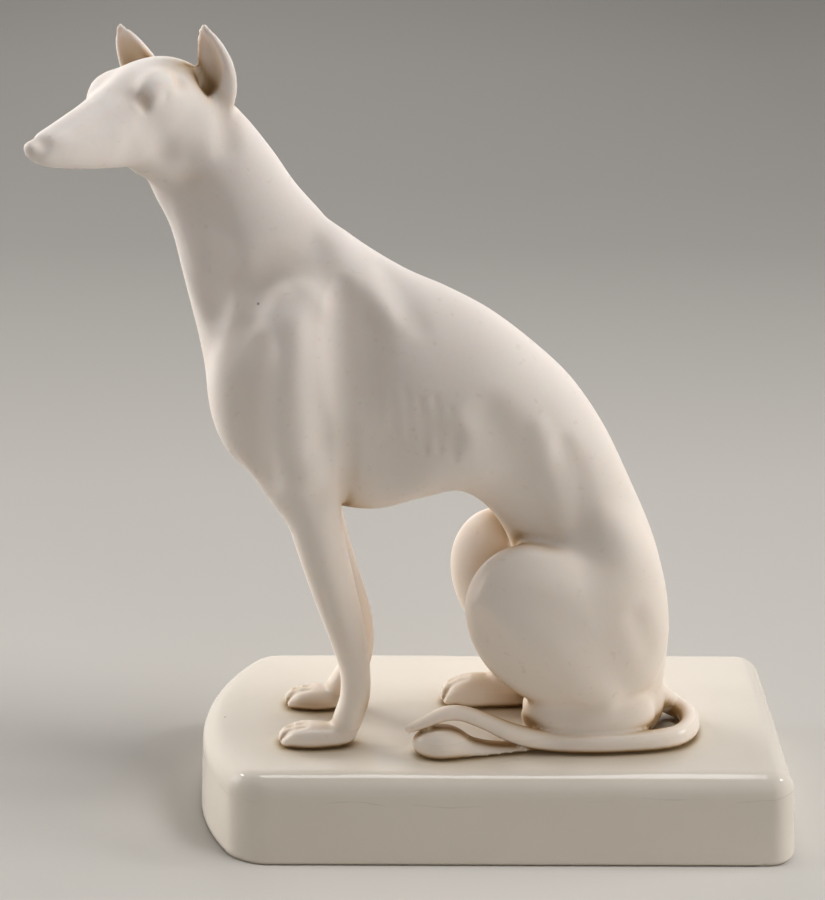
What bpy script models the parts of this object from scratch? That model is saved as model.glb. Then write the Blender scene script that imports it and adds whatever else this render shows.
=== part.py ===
"""Seated greyhound figurine: the cast dog and the glazed slab that it sits on, at their real size.

The dog's sculpted form is worked out as a distance field: rounded masses are blended into one
another, soft relief is raised or hollowed along curves, and the surface is polygonised. Its places
and radii are in percent of DOG_HEIGHT: x towards the rump, y away from the dog's left side,
z up from the top of the plinth.
"""

import math

import bmesh
import bpy
import numpy as np

# Driving dimensions, in metres
DOG_HEIGHT = 0.151         # top of the plinth to the level of the ear tips
PLINTH_HEIGHT = 0.0204
PLINTH_DEPTH = 0.0642      # front to back
PLINTH_SIDE = 0.1172       # straight stretch of each long side
PLINTH_BOW = 0.0110        # how far the end under the head bows out
PLINTH_DRAFT = 0.0011      # how far each side leans in from bottom to top
PLINTH_TOP_ROUND = 0.0032  # radius of the top edge
PLINTH_FOOT_ROUND = 0.0005
SQUARE_CORNER = 0.0045     # plan radius of the corners at the square end
BOW_CORNER = 0.0040        # plan radius of the corners where the bow begins
DOG_SETBACK = 0.0060       # middle plane of the dog, towards the front from the plinth's middle
DOG_SHIFT = 0.00535        # zero of the dog's own x, towards the rump from the plinth's middle
JOINT_GAP = 0.0003         # between the plinth's top and everything that stands on it

# Fineness of the dog's surface
CELL = 0.66                # percent of the dog's height
DOG_TRIANGLES = 8600

BISCUIT = (0.80, 0.74, 0.68)
GLAZE = (0.74, 0.69, 0.61)

FAR = 50.0
NEAR_SIDE, FAR_SIDE = -1.0, 1.0     # the dog's left, towards -Y, and its right
BOTH_SIDES = (NEAR_SIDE, FAR_SIDE)

# Trunk and neck from the skull to the rump: x and z of the under line, x and z of the upper line,
# half width, and how much wider the section is above its middle than below
TRUNK = [
    (-48.5, 87.0, -43.5, 91.5, 2.6, 0.0),
    (-50.0, 82.0, -39.4, 90.6, 4.4, 0.0),
    (-49.0, 78.3, -36.7, 88.3, 4.9, 0.0),
    (-46.9, 73.6, -33.2, 83.8, 5.2, 0.0),
    (-45.5, 67.3, -29.6, 78.6, 5.6, -0.05),
    (-43.9, 59.8, -24.2, 73.2, 6.3, -0.1),
    (-42.0, 51.0, -16.2, 68.0, 7.5, -0.1),
    (-37.1, 41.2, -10.1, 65.2, 8.1, 0.0),
    (-28.2, 35.2, -4.3, 62.0, 8.5, 0.08),
    (-20.9, 33.6, 1.5, 57.5, 8.9, 0.10),
    (-15.0, 35.2, 6.8, 52.4, 8.3, 0.10),
    (-9.6, 36.6, 11.3, 45.8, 7.3, 0.1),
    (-5.0, 34.4, 14.9, 38.4, 6.7, 0.05),
    (-1.4, 28.9, 18.5, 29.9, 7.1, 0.0),
    (0.2, 21.0, 20.5, 21.6, 7.6, 0.0),
    (2.6, 12.0, 21.4, 12.6, 7.2, 0.0),
    (4.0, 4.0, 20.7, 5.0, 6.4, 0.0),
    (5.0, -4.0, 19.0, -4.0, 5.6, 0.0),
]

# The head has a frame of its own: forward along the muzzle, to the dog's left, and up,
# from a point midway between the eyes
HEAD_PLACE = (-51.1, -5.5, 92.6)
HEAD_TURN = math.radians(47.0)      # from straight ahead towards the dog's left
HEAD_ROLL = math.radians(6.0)       # left side up
SKULL = [
    (-12.5, -5.0, -12.5, -1.0, 2.0, 0.0),
    (-11.2, -7.6, -11.4, 1.2, 4.2, 0.0),
    (-8.2, -9.6, -8.8, 3.0, 5.7, 0.10),
    (-4.5, -9.9, -5.5, 3.8, 6.0, 0.20),
    (0.0, -9.5, -1.2, 3.3, 5.6, 0.30),
    (3.2, -9.2, 2.4, 1.7, 4.6, 0.32),
    (6.4, -8.8, 6.0, -0.1, 3.7, 0.15),
    (10.0, -8.2, 9.6, -1.4, 3.05, 0.05),
    (13.2, -7.5, 13.0, -2.6, 2.45, 0.0),
    (15.2, -6.7, 15.2, -3.4, 1.8, 0.0),
    (16.3, -5.8, 16.4, -4.4, 0.8, 0.0),
]

# Each leg and the tail as a rod: x, y, z and radius at each knot
NEAR_FORELEG = [
    (-29.4, -6.0, 40.0, 3.6), (-28.2, -5.8, 34.0, 3.6), (-26.6, -5.6, 27.0, 3.25),
    (-25.2, -5.5, 21.5, 2.95), (-23.9, -5.5, 16.5, 2.6), (-22.9, -5.5, 11.5, 2.15),
    (-22.9, -5.6, 7.0, 2.1), (-24.0, -5.9, 3.4, 2.1),
]
FAR_FORELEG = [
    (-30.4, 6.0, 40.0, 3.6), (-29.2, 5.8, 34.0, 3.5), (-27.2, 5.6, 27.0, 3.1),
    (-25.4, 5.5, 21.5, 2.75), (-23.6, 5.5, 16.5, 2.4), (-22.5, 5.4, 11.5, 2.1),
    (-23.2, 5.3, 7.0, 2.1), (-25.2, 5.0, 3.4, 2.1),
]
NEAR_HIND_FOOT = [
    (-11.0, -9.3, 1.3, 2.1), (-7.5, -9.2, 0.6, 1.9), (-4.0, -8.9, 0.0, 1.6), (0.0, -8.2, -0.1, 1.4),
    (4.0, -7.2, 0.6, 1.3),
]
TAIL = [
    (17.5, -0.5, 6.5, 3.0), (20.6, 1.6, 3.4, 2.0), (22.9, 1.9, 1.9, 1.6), (24.7, -0.6, 1.5, 1.5),
    (24.2, -4.7, 1.4, 1.5), (20.7, -7.6, 1.4, 1.5), (11.4, -8.8, 1.4, 1.5), (4.4, -8.6, 1.5, 1.45),
    (-0.9, -9.2, 3.2, 1.35), (-4.4, -9.3, 4.9, 1.2), (-7.6, -9.4, 6.2, 1.1), (-10.2, -9.6, 6.3, 1.05),
    (-13.0, -9.8, 5.1, 0.85), (-15.2, -9.9, 4.1, 0.6),
]


# Geometry helpers

def unit(vector):
    vector = np.asarray(vector, float)
    return vector / np.linalg.norm(vector)


def smooth_min(first, second, blend):
    overlap = np.maximum(blend - np.abs(first - second), 0.0)
    return np.minimum(first, second) - overlap * overlap / (4.0 * blend)


def smooth_curve(knots, steps):
    """A smooth curve through the knots, all columns carried along."""
    knots = np.asarray(knots, float)
    padded = np.vstack([2 * knots[0] - knots[1], knots, 2 * knots[-1] - knots[-2]])
    rows = []
    for index in range(len(knots) - 1):
        before, start, end, after = padded[index:index + 4]
        for share in np.arange(steps) / steps:
            linear = (end - before) * share
            square = (2 * before - 5 * start + 4 * end - after) * share ** 2
            cube = (3 * start - before - 3 * end + after) * share ** 3
            rows.append(0.5 * (2 * start + linear + square + cube))
    rows.append(knots[-1])
    return np.array(rows)


def rod_offsets(points, rows):
    """For each short stretch of a rod: the offset of every point from it, and the radius there."""
    for start, end in zip(rows[:-1], rows[1:]):
        axis = end[:3] - start[:3]
        offset = points - start[:3]
        share = np.clip(offset @ axis / (axis @ axis + 1e-9), 0.0, 1.0)
        yield offset - share[:, None] * axis, start[3] + share * (end[3] - start[3])


def ellipse_distance(first, second, first_half, second_half):
    """Distance to an ellipse, close to its edge."""
    size = np.hypot(first / first_half, second / second_half) + 1e-9
    slope = np.hypot(first / first_half ** 2, second / second_half ** 2) + 1e-9
    return size * (size - 1.0) / slope


# Shapes: each has low and high corners of its box, and a distance

class Lump:
    """An ellipsoid, its half sizes along its long axis, to its side and across both."""

    def __init__(self, centre, half, long_axis=(1, 0, 0), side_axis=(0, 1, 0)):
        self.centre = np.asarray(centre, float)
        self.half = np.asarray(half, float)
        long_axis = unit(long_axis)
        third = unit(np.cross(long_axis, side_axis))
        self.axes = np.array([long_axis, np.cross(third, long_axis), third])
        reach = np.sqrt(((self.half[:, None] * self.axes) ** 2).sum(0))
        self.low = self.centre - reach
        self.high = self.centre + reach

    def distance(self, points):
        local = (points - self.centre) @ self.axes.T / self.half
        size = np.sqrt((local * local).sum(1)) + 1e-9
        slope = np.sqrt(((local / self.half) ** 2).sum(1)) + 1e-9
        return size * (size - 1.0) / slope


class Rod:
    """A tapering rod along a smooth curve, flattened from side to side."""

    def __init__(self, knots, steps=4, flat=1.0):
        self.rows = smooth_curve(knots, steps)
        self.flat = flat
        radius = self.rows[:, 3:4]
        self.low = (self.rows[:, :3] - radius).min(0)
        self.high = (self.rows[:, :3] + radius).max(0)

    def distance(self, points):
        best = np.full(len(points), 4 * FAR)
        for gap, radius in rod_offsets(points, self.rows):
            gap[:, 1] /= self.flat
            best = np.minimum(best, np.sqrt((gap * gap).sum(1)) - radius)
        return best


class Loft:
    """Egg-shaped sections between an under line and an upper line in the x-z plane."""

    def __init__(self, knots, steps=6):
        self.rows = smooth_curve(knots, steps)
        width = 1.2 * self.rows[:, 4].max()
        xs = self.rows[:, [0, 2]]
        zs = self.rows[:, [1, 3]]
        self.low = np.array([xs.min(), -width, zs.min()])
        self.high = np.array([xs.max(), width, zs.max()])

    def sides(self, flat):
        """Signed distance of each point from the line of each section."""
        across = self.rows[:, 2:4] - self.rows[:, 0:2]
        across /= np.linalg.norm(across, axis=1)[:, None]
        offset_x = flat[None, :, 0] - self.rows[:, None, 0]
        offset_z = flat[None, :, 1] - self.rows[:, None, 1]
        return across[:, None, 0] * offset_z - across[:, None, 1] * offset_x

    def distance(self, points):
        rows = self.rows
        flat = points[:, [0, 2]]
        side = self.sides(flat)
        passed = side < 0
        if passed[0].sum() < passed[-1].sum():
            passed = ~passed
        last = len(rows) - 1
        index = np.clip(passed.sum(0), 1, last)
        column = np.arange(len(points))
        before = side[index - 1, column]
        after = side[index, column]
        share = np.clip(before / (before - after + 1e-12), 0.0, 1.0)
        row = rows[index - 1] + share[:, None] * (rows[index] - rows[index - 1])
        across = row[:, 2:4] - row[:, 0:2]
        depth = np.linalg.norm(across, axis=1)
        height = 2.0 * ((flat - row[:, 0:2]) * across).sum(1) / depth ** 2 - 1.0
        swell = row[:, 5]
        width = row[:, 4] * (1.0 + swell * np.clip(height, -1.3, 1.3) - 0.5 * swell ** 2)
        inner = ellipse_distance(height * depth / 2, points[:, 1], depth / 2, width)
        past_start = np.where((index == 1) & (share <= 0), np.abs(before), 0.0)
        past_end = np.where((index == last) & (share >= 1), np.abs(after), 0.0)
        beyond = np.maximum(past_start, past_end)
        return np.where(beyond > 0, np.maximum(inner, 0.0) + beyond, inner)


class Leaf:
    """A pointed leaf on its base; its section is an ellipse, set forward by a share of the width."""

    def __init__(self, base, tip, facing, width, depth, forward):
        self.base = np.asarray(base, float)
        self.length = np.linalg.norm(np.subtract(tip, base))
        up = unit(np.subtract(tip, base))
        facing = unit(facing - up * (facing @ up))
        outward = np.cross(up, facing) * np.sign(base[1])
        self.axes = np.array([outward, facing, up])
        self.width = width
        self.depth = depth
        self.forward = forward
        self.low = np.minimum(base, tip) - 1.2 * width
        self.high = np.maximum(base, tip) + 1.2 * width

    def distance(self, points):
        local = (points - self.base) @ self.axes.T
        share = local[:, 2] / self.length
        taper = np.clip((share - 0.35) / 0.65, 0.0, 1.0)
        shape = (1.0 - taper ** 1.8 + 1e-6) ** 0.75
        foot = np.sqrt(1.0 - np.clip((0.3 - share) / 0.55, 0.0, 0.99) ** 2)
        wide = self.width * shape * foot
        thick = np.maximum(wide * self.depth, 0.45)
        bow = 2.2 * share * (1.0 - share)
        aside = local[:, 0] - 0.8 * bow
        ahead = local[:, 1] + 0.6 * bow - self.forward * self.width * (0.55 + 0.45 * shape)
        section = ellipse_distance(aside, ahead, np.maximum(wide, 0.35), thick)
        below = -local[:, 2] - 0.25 * self.length
        above = local[:, 2] - self.length
        return np.maximum(section, np.maximum(below, above))


class Turned:
    """A shape given in the frame of the head."""

    def __init__(self, shape):
        self.shape = shape
        box = [(shape.low[0], shape.high[0]), (shape.low[1], shape.high[1]), (shape.low[2], shape.high[2])]
        corners = np.array(np.meshgrid(*box)).reshape(3, 8).T @ HEAD_AXES + HEAD_PLACE
        self.low = corners.min(0)
        self.high = corners.max(0)

    def distance(self, points):
        return self.shape.distance((points - HEAD_PLACE) @ HEAD_AXES.T)


class Clay:
    """The distance from many points to the surface of the figure, worked up shape by shape."""

    def __init__(self, points):
        self.points = points
        self.distance = np.full(len(points), FAR)

    def near(self, low, high, margin):
        return ((self.points > low - margin) & (self.points < high + margin)).all(1)

    def add(self, shape, blend):
        near = self.near(shape.low, shape.high, blend + 3.0)
        self.distance[near] = smooth_min(self.distance[near], shape.distance(self.points[near]), blend)

    def carve(self, shape, blend):
        near = self.near(shape.low, shape.high, blend + 0.5)
        self.distance[near] = -smooth_min(-self.distance[near], shape.distance(self.points[near]), blend)

    def swell(self, rise, knots):
        """Raise the surface softly along a curve, or hollow it; each knot is x, y, z and width."""
        rows = smooth_curve(knots, 4) if len(knots) > 1 else np.array([knots[0], knots[0]], float)
        near = self.near(rows[:, :3].min(0), rows[:, :3].max(0), 2.2 * rows[:, 3].max())
        best = np.full(near.sum(), FAR)
        for gap, width in rod_offsets(self.points[near], rows):
            best = np.minimum(best, (gap * gap).sum(1) / width ** 2)
        self.distance[near] -= rise * np.maximum(1.0 - best / 4.0, 0.0) ** 3

    def swell_both(self, rise, *knots):
        """The same relief on the dog's left and right."""
        for side in BOTH_SIDES:
            self.swell(rise, [(x, y * side, z, width) for x, y, z, width in knots])


# The head

def head_axes():
    """Forward, left and up of the head, as rows."""
    forward = np.array([-math.cos(HEAD_TURN), -math.sin(HEAD_TURN), 0.0])
    level = np.array([math.sin(HEAD_TURN), -math.cos(HEAD_TURN), 0.0])
    up = np.array([0.0, 0.0, 1.0])
    left = math.cos(HEAD_ROLL) * level + math.sin(HEAD_ROLL) * up
    return np.array([forward, left, np.cross(forward, left)])


HEAD_AXES = head_axes()


def add_ear(clay, side):
    """An upright ear: a leaf with a shallow hollow in its front; the left one sits further back."""
    back, aside = (-10.9, 5.1) if side > 0 else (-9.6, 5.8)
    base = np.array([back, aside * side, -2.4])
    tip = np.array([back + 3.5, (aside + 2.1) * side, 7.7])
    facing = np.array([0.97, 0.22, 0.0])
    width = 2.75 if side > 0 else 2.95
    clay.add(Turned(Leaf(base, tip, facing, width=width, depth=0.46, forward=0.0)), 1.4)
    inward = np.array([0.0, -0.3 * side, 0.0])
    low = base + 0.30 * (tip - base) + inward
    high = base + 0.94 * (tip - base) + 0.5 * inward
    clay.carve(Turned(Leaf(low, high, facing, width=0.66 * width, depth=0.60, forward=0.72)), 0.9)


def swell_head(clay, rise, *knots):
    """Relief on both sides of the head, its knots in the head's frame."""
    for side in BOTH_SIDES:
        turned = []
        for forward, left, up, width in knots:
            place = np.array([forward, left * side, up]) @ HEAD_AXES + HEAD_PLACE
            turned.append((*place, width))
        clay.swell(rise, turned)


def add_head(clay):
    clay.add(Turned(Loft(SKULL)), 4.0)
    clay.add(Lump((-48.6, -3.0, 83.6), (3.4, 2.8, 2.1)), 2.5)      # throat under the jaw
    near_brow = Lump((-0.6, 4.6, 1.0), (1.9, 1.0, 0.9), (1.0, -0.3, -0.25))
    far_brow = Lump((0.7, -4.2, 0.5), (2.5, 1.3, 1.2), (1.0, 0.3, -0.25))
    for side, brow in ((1.0, near_brow), (-1.0, far_brow)):
        clay.add(Turned(brow), 2.6)
        add_ear(clay, side)
    # stop before the forehead, cheek bone and temple
    swell_head(clay, -0.5, (2.4, 3.0, 0.8, 2.2))
    swell_head(clay, 0.25, (-2.7, 6.2, -2.3, 1.6), (-5.5, 6.3, -2.0, 1.8))
    swell_head(clay, -0.3, (-4.1, 5.2, 0.6, 1.0))
    # groove in front of the cheek, upper lip, jaw muscle and the hollow behind the cheek
    swell_head(clay, -0.3, (1.1, 4.8, -3.5, 1.4), (-0.7, 4.3, -6.1, 1.6), (-2.2, 3.3, -8.3, 1.4))
    swell_head(clay, 0.25, (6.0, 3.4, -4.6, 2.2), (11.0, 2.6, -5.0, 1.8))
    swell_head(clay, 0.3, (-4.6, 6.0, -6.0, 2.6), (-6.6, 6.4, -8.0, 2.4))
    swell_head(clay, -0.35, (-9.6, 6.6, -4.5, 1.5), (-9.6, 6.8, -8.0, 1.7))
    # eye: inner corner, ball and upper lid
    swell_head(clay, -0.34, (1.5, 4.8, -0.8, 0.9), (1.2, 4.8, -1.7, 0.9))
    swell_head(clay, 0.42, (-0.1, 5.4, -0.4, 1.0))
    swell_head(clay, 0.12, (1.2, 4.9, 0.8, 0.7), (-0.4, 5.4, 1.0, 0.8), (-2.0, 5.7, 0.0, 0.8))
    nose = Lump((15.6, 0.0, -4.6), (1.2, 1.45, 1.0))
    clay.add(Turned(nose), 0.6)
    swell_head(clay, -0.5, (15.2, 1.1, -4.3, 1.0))
    swell_head(clay, 0.2, (13.0, 2.1, -4.0, 1.1))


# The body

def add_shoulders(clay):
    for side in BOTH_SIDES:
        clay.add(Lump((-36.8, 3.4 * side, 48.5), (8.5, 4.2, 5.0), (-0.25, 0.0, 0.97)), 3.0)   # breast
        clay.add(Lump((-35.2, 5.6 * side, 51.0), (9.0, 3.3, 4.6), (0.35, 0.0, -0.94)), 3.0)   # shoulder
        clay.add(Lump((-29.3, 5.6 * side, 51.5), (15.5, 3.8, 5.6), (0.04, 0.0, -1.0)), 3.0)   # triceps
        clay.add(Lump((-31.3, 5.6 * side, 42.2), (9.3, 3.4, 5.2), (-0.38, 0.0, 0.92)), 2.0)   # elbow


def add_hindquarters(clay):
    near_thigh = Lump((6.3, -5.8, 17.8), (15.2, 6.1, 11.8), (-0.76, -0.10, 0.65))
    far_thigh = Lump((4.9, 5.7, 17.9), (16.0, 6.0, 11.6), (-0.76, 0.10, 0.64))
    for thigh in (near_thigh, far_thigh):
        clay.add(thigh, 1.3)
    for side in BOTH_SIDES:
        clay.add(Lump((13.7, 4.2 * side, 22.0), (13.0, 5.4, 6.6), (0.20, 0.0, -0.97)), 2.5)   # haunch
    clay.add(Lump((10.0, -5.4, 4.0), (9.4, 3.6, 4.6)), 1.6)                                   # near hock
    clay.add(Lump((6.0, 6.4, 5.4), (9.5, 3.4, 5.0), (1.0, 0.0, 0.06)), 2.0)                   # far hock
    clay.add(Lump((11.0, -0.5, 3.0), (10.0, 6.3, 5.0)), 2.0)                                  # seat


def add_paw(clay, tip, heading, length, width, height):
    """A foot with its fused toes, lying from the tip back along its heading."""
    forward = unit((*heading, 0.0))
    left = np.cross((0.0, 0.0, 1.0), forward)

    def place(back, aside, rise):
        return np.array([*tip, rise]) - forward * back + left * aside

    foot = (0.5 * length, 0.95 * width, 0.60 * height)
    ball = (1.5 * width, 0.98 * width, 0.58 * height)
    clay.add(Lump(place(0.52 * length, 0.0, 0.40 * height), foot, forward, left), 1.0)
    clay.add(Lump(place(1.5 * width, 0.0, 0.36 * height), ball, forward, left), 0.8)
    for toe in (-1.5, -0.5, 0.5, 1.5):
        shy = 0.45 + 0.16 * width * (abs(toe) - 0.5)
        root = (*place(shy + 3.6, 0.34 * width * toe, 0.50 * height), 0.30 * width)
        knuckle = (*place(shy + 1.6, 0.40 * width * toe, 0.46 * height), 0.33 * width)
        end = (*place(shy + 0.25, 0.38 * width * toe, 0.22 * height), 0.25 * width)
        clay.add(Rod([root, knuckle, end], steps=3), 0.7)


def add_paws(clay):
    add_paw(clay, (-33.6, -6.3), (-1.0, 0.02), 10.6, 2.5, 3.1)      # near fore
    add_paw(clay, (-33.4, 5.6), (-1.0, 0.06), 9.6, 2.5, 3.1)        # far fore
    clay.add(Lump((-10.9, -9.4, 1.7), (3.9, 2.6, 2.7)), 1.0)        # near hind
    clay.add(Rod(NEAR_HIND_FOOT), 1.2)
    add_paw(clay, (-10.6, 6.4), (-1.0, 0.0), 15.0, 2.8, 4.6)        # far hind


def shape_neck_and_shoulders(clay):
    # furrow down the side of the neck, and the cord in front of it
    clay.swell_both(-0.9, (-43.4, 4.2, 80.5, 1.8), (-42.2, 4.6, 77.6, 2.4), (-41.2, 4.8, 72.0, 3.0),
                    (-40.8, 4.8, 66.5, 2.7), (-40.8, 5.0, 63.4, 1.7))
    clay.swell_both(0.26, (-45.2, 3.6, 77.5, 1.1), (-44.0, 3.8, 73.5, 1.4), (-43.2, 4.2, 69.0, 1.2))
    # cords from the neck into the breast
    clay.swell_both(0.20, (-38.0, 6.0, 63.8, 1.8), (-39.7, 5.8, 61.2, 2.3), (-41.6, 5.0, 58.8, 2.0))
    clay.swell_both(0.32, (-32.4, 7.1, 66.2, 1.5), (-34.4, 7.6, 63.2, 1.9), (-35.2, 8.0, 60.0, 2.1),
                    (-35.8, 8.4, 57.0, 2.1))
    # between the neck and the shoulder blade
    clay.swell_both(-0.7, (-26.2, 2.8, 74.0, 2.0), (-29.0, 4.6, 72.2, 2.5), (-32.0, 5.8, 70.2, 2.7),
                    (-35.6, 6.2, 67.0, 2.2))
    # triceps, the step behind it and the hollow behind the shoulder
    clay.swell_both(0.90, (-31.4, 8.4, 62.0, 2.8), (-31.6, 9.4, 55.0, 3.4), (-31.0, 9.4, 47.0, 3.2),
                    (-29.4, 8.8, 42.0, 2.2))
    clay.swell_both(-0.55, (-26.9, 8.0, 62.0, 2.0), (-26.4, 9.0, 54.0, 2.4), (-26.0, 8.8, 46.0, 2.2))
    clay.swell_both(-1.0, (-23.9, 6.4, 67.2, 1.2), (-24.2, 7.6, 62.0, 1.7), (-23.8, 8.6, 56.0, 1.8),
                    (-23.4, 9.0, 50.5, 1.4), (-23.3, 8.6, 45.0, 1.2), (-23.2, 7.6, 40.0, 1.0))
    clay.swell_both(-1.0, (-22.8, 6.8, 64.5, 2.2), (-22.2, 7.8, 60.0, 3.2), (-21.8, 8.6, 53.0, 2.8))
    clay.swell_both(-0.6, (-21.6, 7.4, 61.0, 3.2), (-20.4, 8.6, 54.0, 4.2), (-18.6, 8.6, 46.5, 4.2),
                    (-17.0, 8.4, 41.0, 3.0))
    # edge of the back muscle
    clay.swell_both(0.46, (-25.8, 2.2, 73.0, 1.6), (-23.0, 3.8, 69.6, 2.4), (-20.6, 5.0, 66.6, 2.6),
                    (-18.4, 6.0, 63.4, 1.9))
    clay.swell_both(-0.25, (-18.4, 2.8, 68.8, 1.4), (-16.0, 4.8, 65.4, 1.9), (-13.8, 6.2, 61.8, 1.4))
    # between the breast and the triceps
    clay.swell_both(-0.7, (-34.4, 9.0, 59.5, 1.5), (-35.4, 9.2, 54.0, 2.2), (-35.8, 9.0, 47.5, 2.5),
                    (-34.6, 8.4, 41.0, 1.9))
    clay.swell_both(0.25, (-26.3, 8.9, 44.0, 1.6))       # elbow
    clay.swell_both(-0.25, (-29.3, 8.6, 41.5, 1.4), (-27.8, 8.6, 38.0, 1.5))


def shape_flanks(clay):
    for rib in range(7):
        x = -21.4 + 2.02 * rib
        low = 48.2 - 0.62 * rib + 0.9 * (rib % 2)
        clay.swell_both(-0.24 + 0.018 * rib, (x - 0.5, 8.3, low + 6.4, 0.5), (x, 8.6, low + 3.4, 0.95),
                        (x + 0.1, 8.6, low + 1.4, 0.85), (x + 0.2, 8.6, low - 1.0, 0.4))
    clay.swell_both(-0.3, (-12.6, 8.6, 47.8, 1.9), (-9.6, 8.6, 46.6, 1.6))
    # cord from the loin to the thigh, the groove behind it and the broad hollow before it
    clay.swell_both(0.22, (2.2, 7.2, 48.0, 1.2), (3.4, 7.3, 43.5, 2.2), (4.6, 7.2, 38.5, 2.3),
                    (5.4, 7.2, 33.5, 1.5))
    clay.swell_both(-0.42, (5.6, 7.0, 45.0, 1.4), (6.9, 7.0, 39.4, 2.5), (8.0, 7.0, 33.0, 1.8))
    clay.swell_both(-0.6, (-4.6, 8.0, 49.5, 2.6), (-2.6, 7.4, 45.6, 3.2), (-0.2, 6.6, 40.0, 3.4),
                    (2.0, 6.0, 35.5, 2.8), (4.2, 6.4, 32.0, 2.0))
    # crests of the thigh, and the plane below them
    clay.swell_both(-0.6, (-6.0, 10.6, 20.0, 2.0), (-2.6, 11.2, 15.8, 3.0), (2.2, 11.0, 10.6, 3.2),
                    (7.0, 9.8, 6.2, 2.2))
    clay.swell_both(0.5, (-5.0, 10.0, 23.5, 2.4), (-1.5, 11.4, 20.5, 3.4), (3.6, 11.8, 15.5, 3.8),
                    (8.6, 10.9, 11.0, 3.2), (12.5, 9.5, 8.0, 2.0))
    clay.swell_both(-0.7, (-2.0, 10.0, 31.0, 2.8), (3.0, 9.5, 31.6, 3.8), (8.4, 9.0, 31.0, 3.8))
    clay.swell_both(-0.25, (16.0, 9.8, 21.0, 1.6), (17.7, 9.4, 16.8, 1.6))


def dog_distance(points):
    clay = Clay(points)
    clay.add(Loft(TRUNK), 1.0)
    add_shoulders(clay)
    for leg in (NEAR_FORELEG, FAR_FORELEG):
        clay.add(Rod(leg, flat=0.92), 2.0)
    add_hindquarters(clay)
    shape_neck_and_shoulders(clay)
    shape_flanks(clay)
    add_paws(clay)
    clay.add(Rod(TAIL), 0.6)
    add_head(clay)
    sole = 100.0 * JOINT_GAP / DOG_HEIGHT
    return np.maximum(clay.distance, sole - points[:, 2])


# From distance to surface

def fill_pinches(values):
    """Fill grid corners wherever two parts of the surface would touch along an edge."""
    filled = True
    while filled:
        filled = False
        for axis in range(3):
            face = np.moveaxis(values, axis, 0)
            quarters = [face[:, :-1, :-1], face[:, 1:, 1:], face[:, :-1, 1:], face[:, 1:, :-1]]
            inside = [quarter < 0 for quarter in quarters]
            pinch = (inside[0] == inside[1]) & (inside[2] == inside[3]) & (inside[0] != inside[2])
            if pinch.any():
                filled = True
                for quarter, solid in zip(quarters, inside):
                    quarter[pinch & ~solid] = -1e-3


def crossing_mesh(values, low, cell):
    """One vertex in each cell that the surface crosses, one face for each crossed edge of the grid."""
    inside = values < 0
    strides = np.array([values.shape[1] * values.shape[2], values.shape[2], 1])
    numbers = np.arange(values.size).reshape(values.shape)
    total = np.zeros((3, values.size))
    count = np.zeros(values.size)
    faces = []
    for axis in range(3):
        here = tuple(slice(0, -1) if other == axis else slice(None) for other in range(3))
        there = tuple(slice(1, None) if other == axis else slice(None) for other in range(3))
        crossed = inside[here] != inside[there]
        start = values[here][crossed]
        end = values[there][crossed]
        spot = low + np.argwhere(crossed) * cell
        spot[:, axis] += cell * start / (start - end)
        first, second = [other for other in range(3) if other != axis]
        corners = []
        for step_first, step_second in ((0, 0), (1, 0), (1, 1), (0, 1)):
            corner = numbers[here][crossed] - step_first * strides[first] - step_second * strides[second]
            corners.append(corner)
            count += np.bincount(corner, minlength=values.size)
            for other in range(3):
                total[other] += np.bincount(corner, weights=spot[:, other], minlength=values.size)
        face = np.stack(corners, 1)
        backward = (start < 0) == (axis == 1)
        face[backward] = face[backward][:, ::-1]
        faces.append(face)
    used = np.flatnonzero(count)
    lookup = np.zeros(values.size, int)
    lookup[used] = np.arange(len(used))
    return (total[:, used] / count[used]).T, lookup[np.vstack(faces)]


def settle(vertices, distance, cell):
    """Move the vertices onto the surface that they lie next to."""
    probe = 0.1 * cell
    for _ in range(2):
        value = distance(vertices)
        slope = np.empty_like(vertices)
        for axis in range(3):
            shift = probe * np.eye(3)[axis]
            slope[:, axis] = (distance(vertices + shift) - value) / probe
        steepness = np.maximum((slope * slope).sum(1), 0.25)
        move = np.clip(-value / steepness, -0.35 * cell, 0.35 * cell)
        vertices = vertices + slope * move[:, None]
    return vertices


def field_surface(distance, low, high, cell, coarse=3):
    """Polygonise a distance: coarsely everywhere, then finely next to the surface."""
    low = np.asarray(low, float)
    counts = np.ceil((np.asarray(high) - low) / (cell * coarse)).astype(int) + 1
    axes = [low[axis] + cell * coarse * np.arange(counts[axis]) for axis in range(3)]
    grid = np.stack(np.meshgrid(*axes, indexing="ij"), 3)
    values = distance(grid.reshape(-1, 3)).reshape(counts)
    for axis in range(3):
        values = np.repeat(values, coarse, axis=axis)
    values = values[coarse // 2:, coarse // 2:, coarse // 2:].copy()
    close = np.abs(values) < 1.9 * cell * coarse
    values[close] = distance(low + np.argwhere(close) * cell)
    fill_pinches(values)
    vertices, faces = crossing_mesh(values, low, cell)
    return settle(vertices, distance, cell), faces


# Objects

def clear_scene():
    for thing in list(bpy.data.objects):
        bpy.data.objects.remove(thing, do_unlink=True)


def plain_material(name, colour, roughness):
    material = bpy.data.materials.new(name)
    material.use_nodes = True
    shader = material.node_tree.nodes["Principled BSDF"]
    shader.inputs["Base Color"].default_value = (*colour, 1.0)
    shader.inputs["Roughness"].default_value = roughness
    shader.inputs["Metallic"].default_value = 0.0
    return material


def new_object(name, mesh, material):
    mesh.materials.append(material)
    mesh.shade_smooth()
    thing = bpy.data.objects.new(name, mesh)
    bpy.context.collection.objects.link(thing)
    return thing


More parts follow.
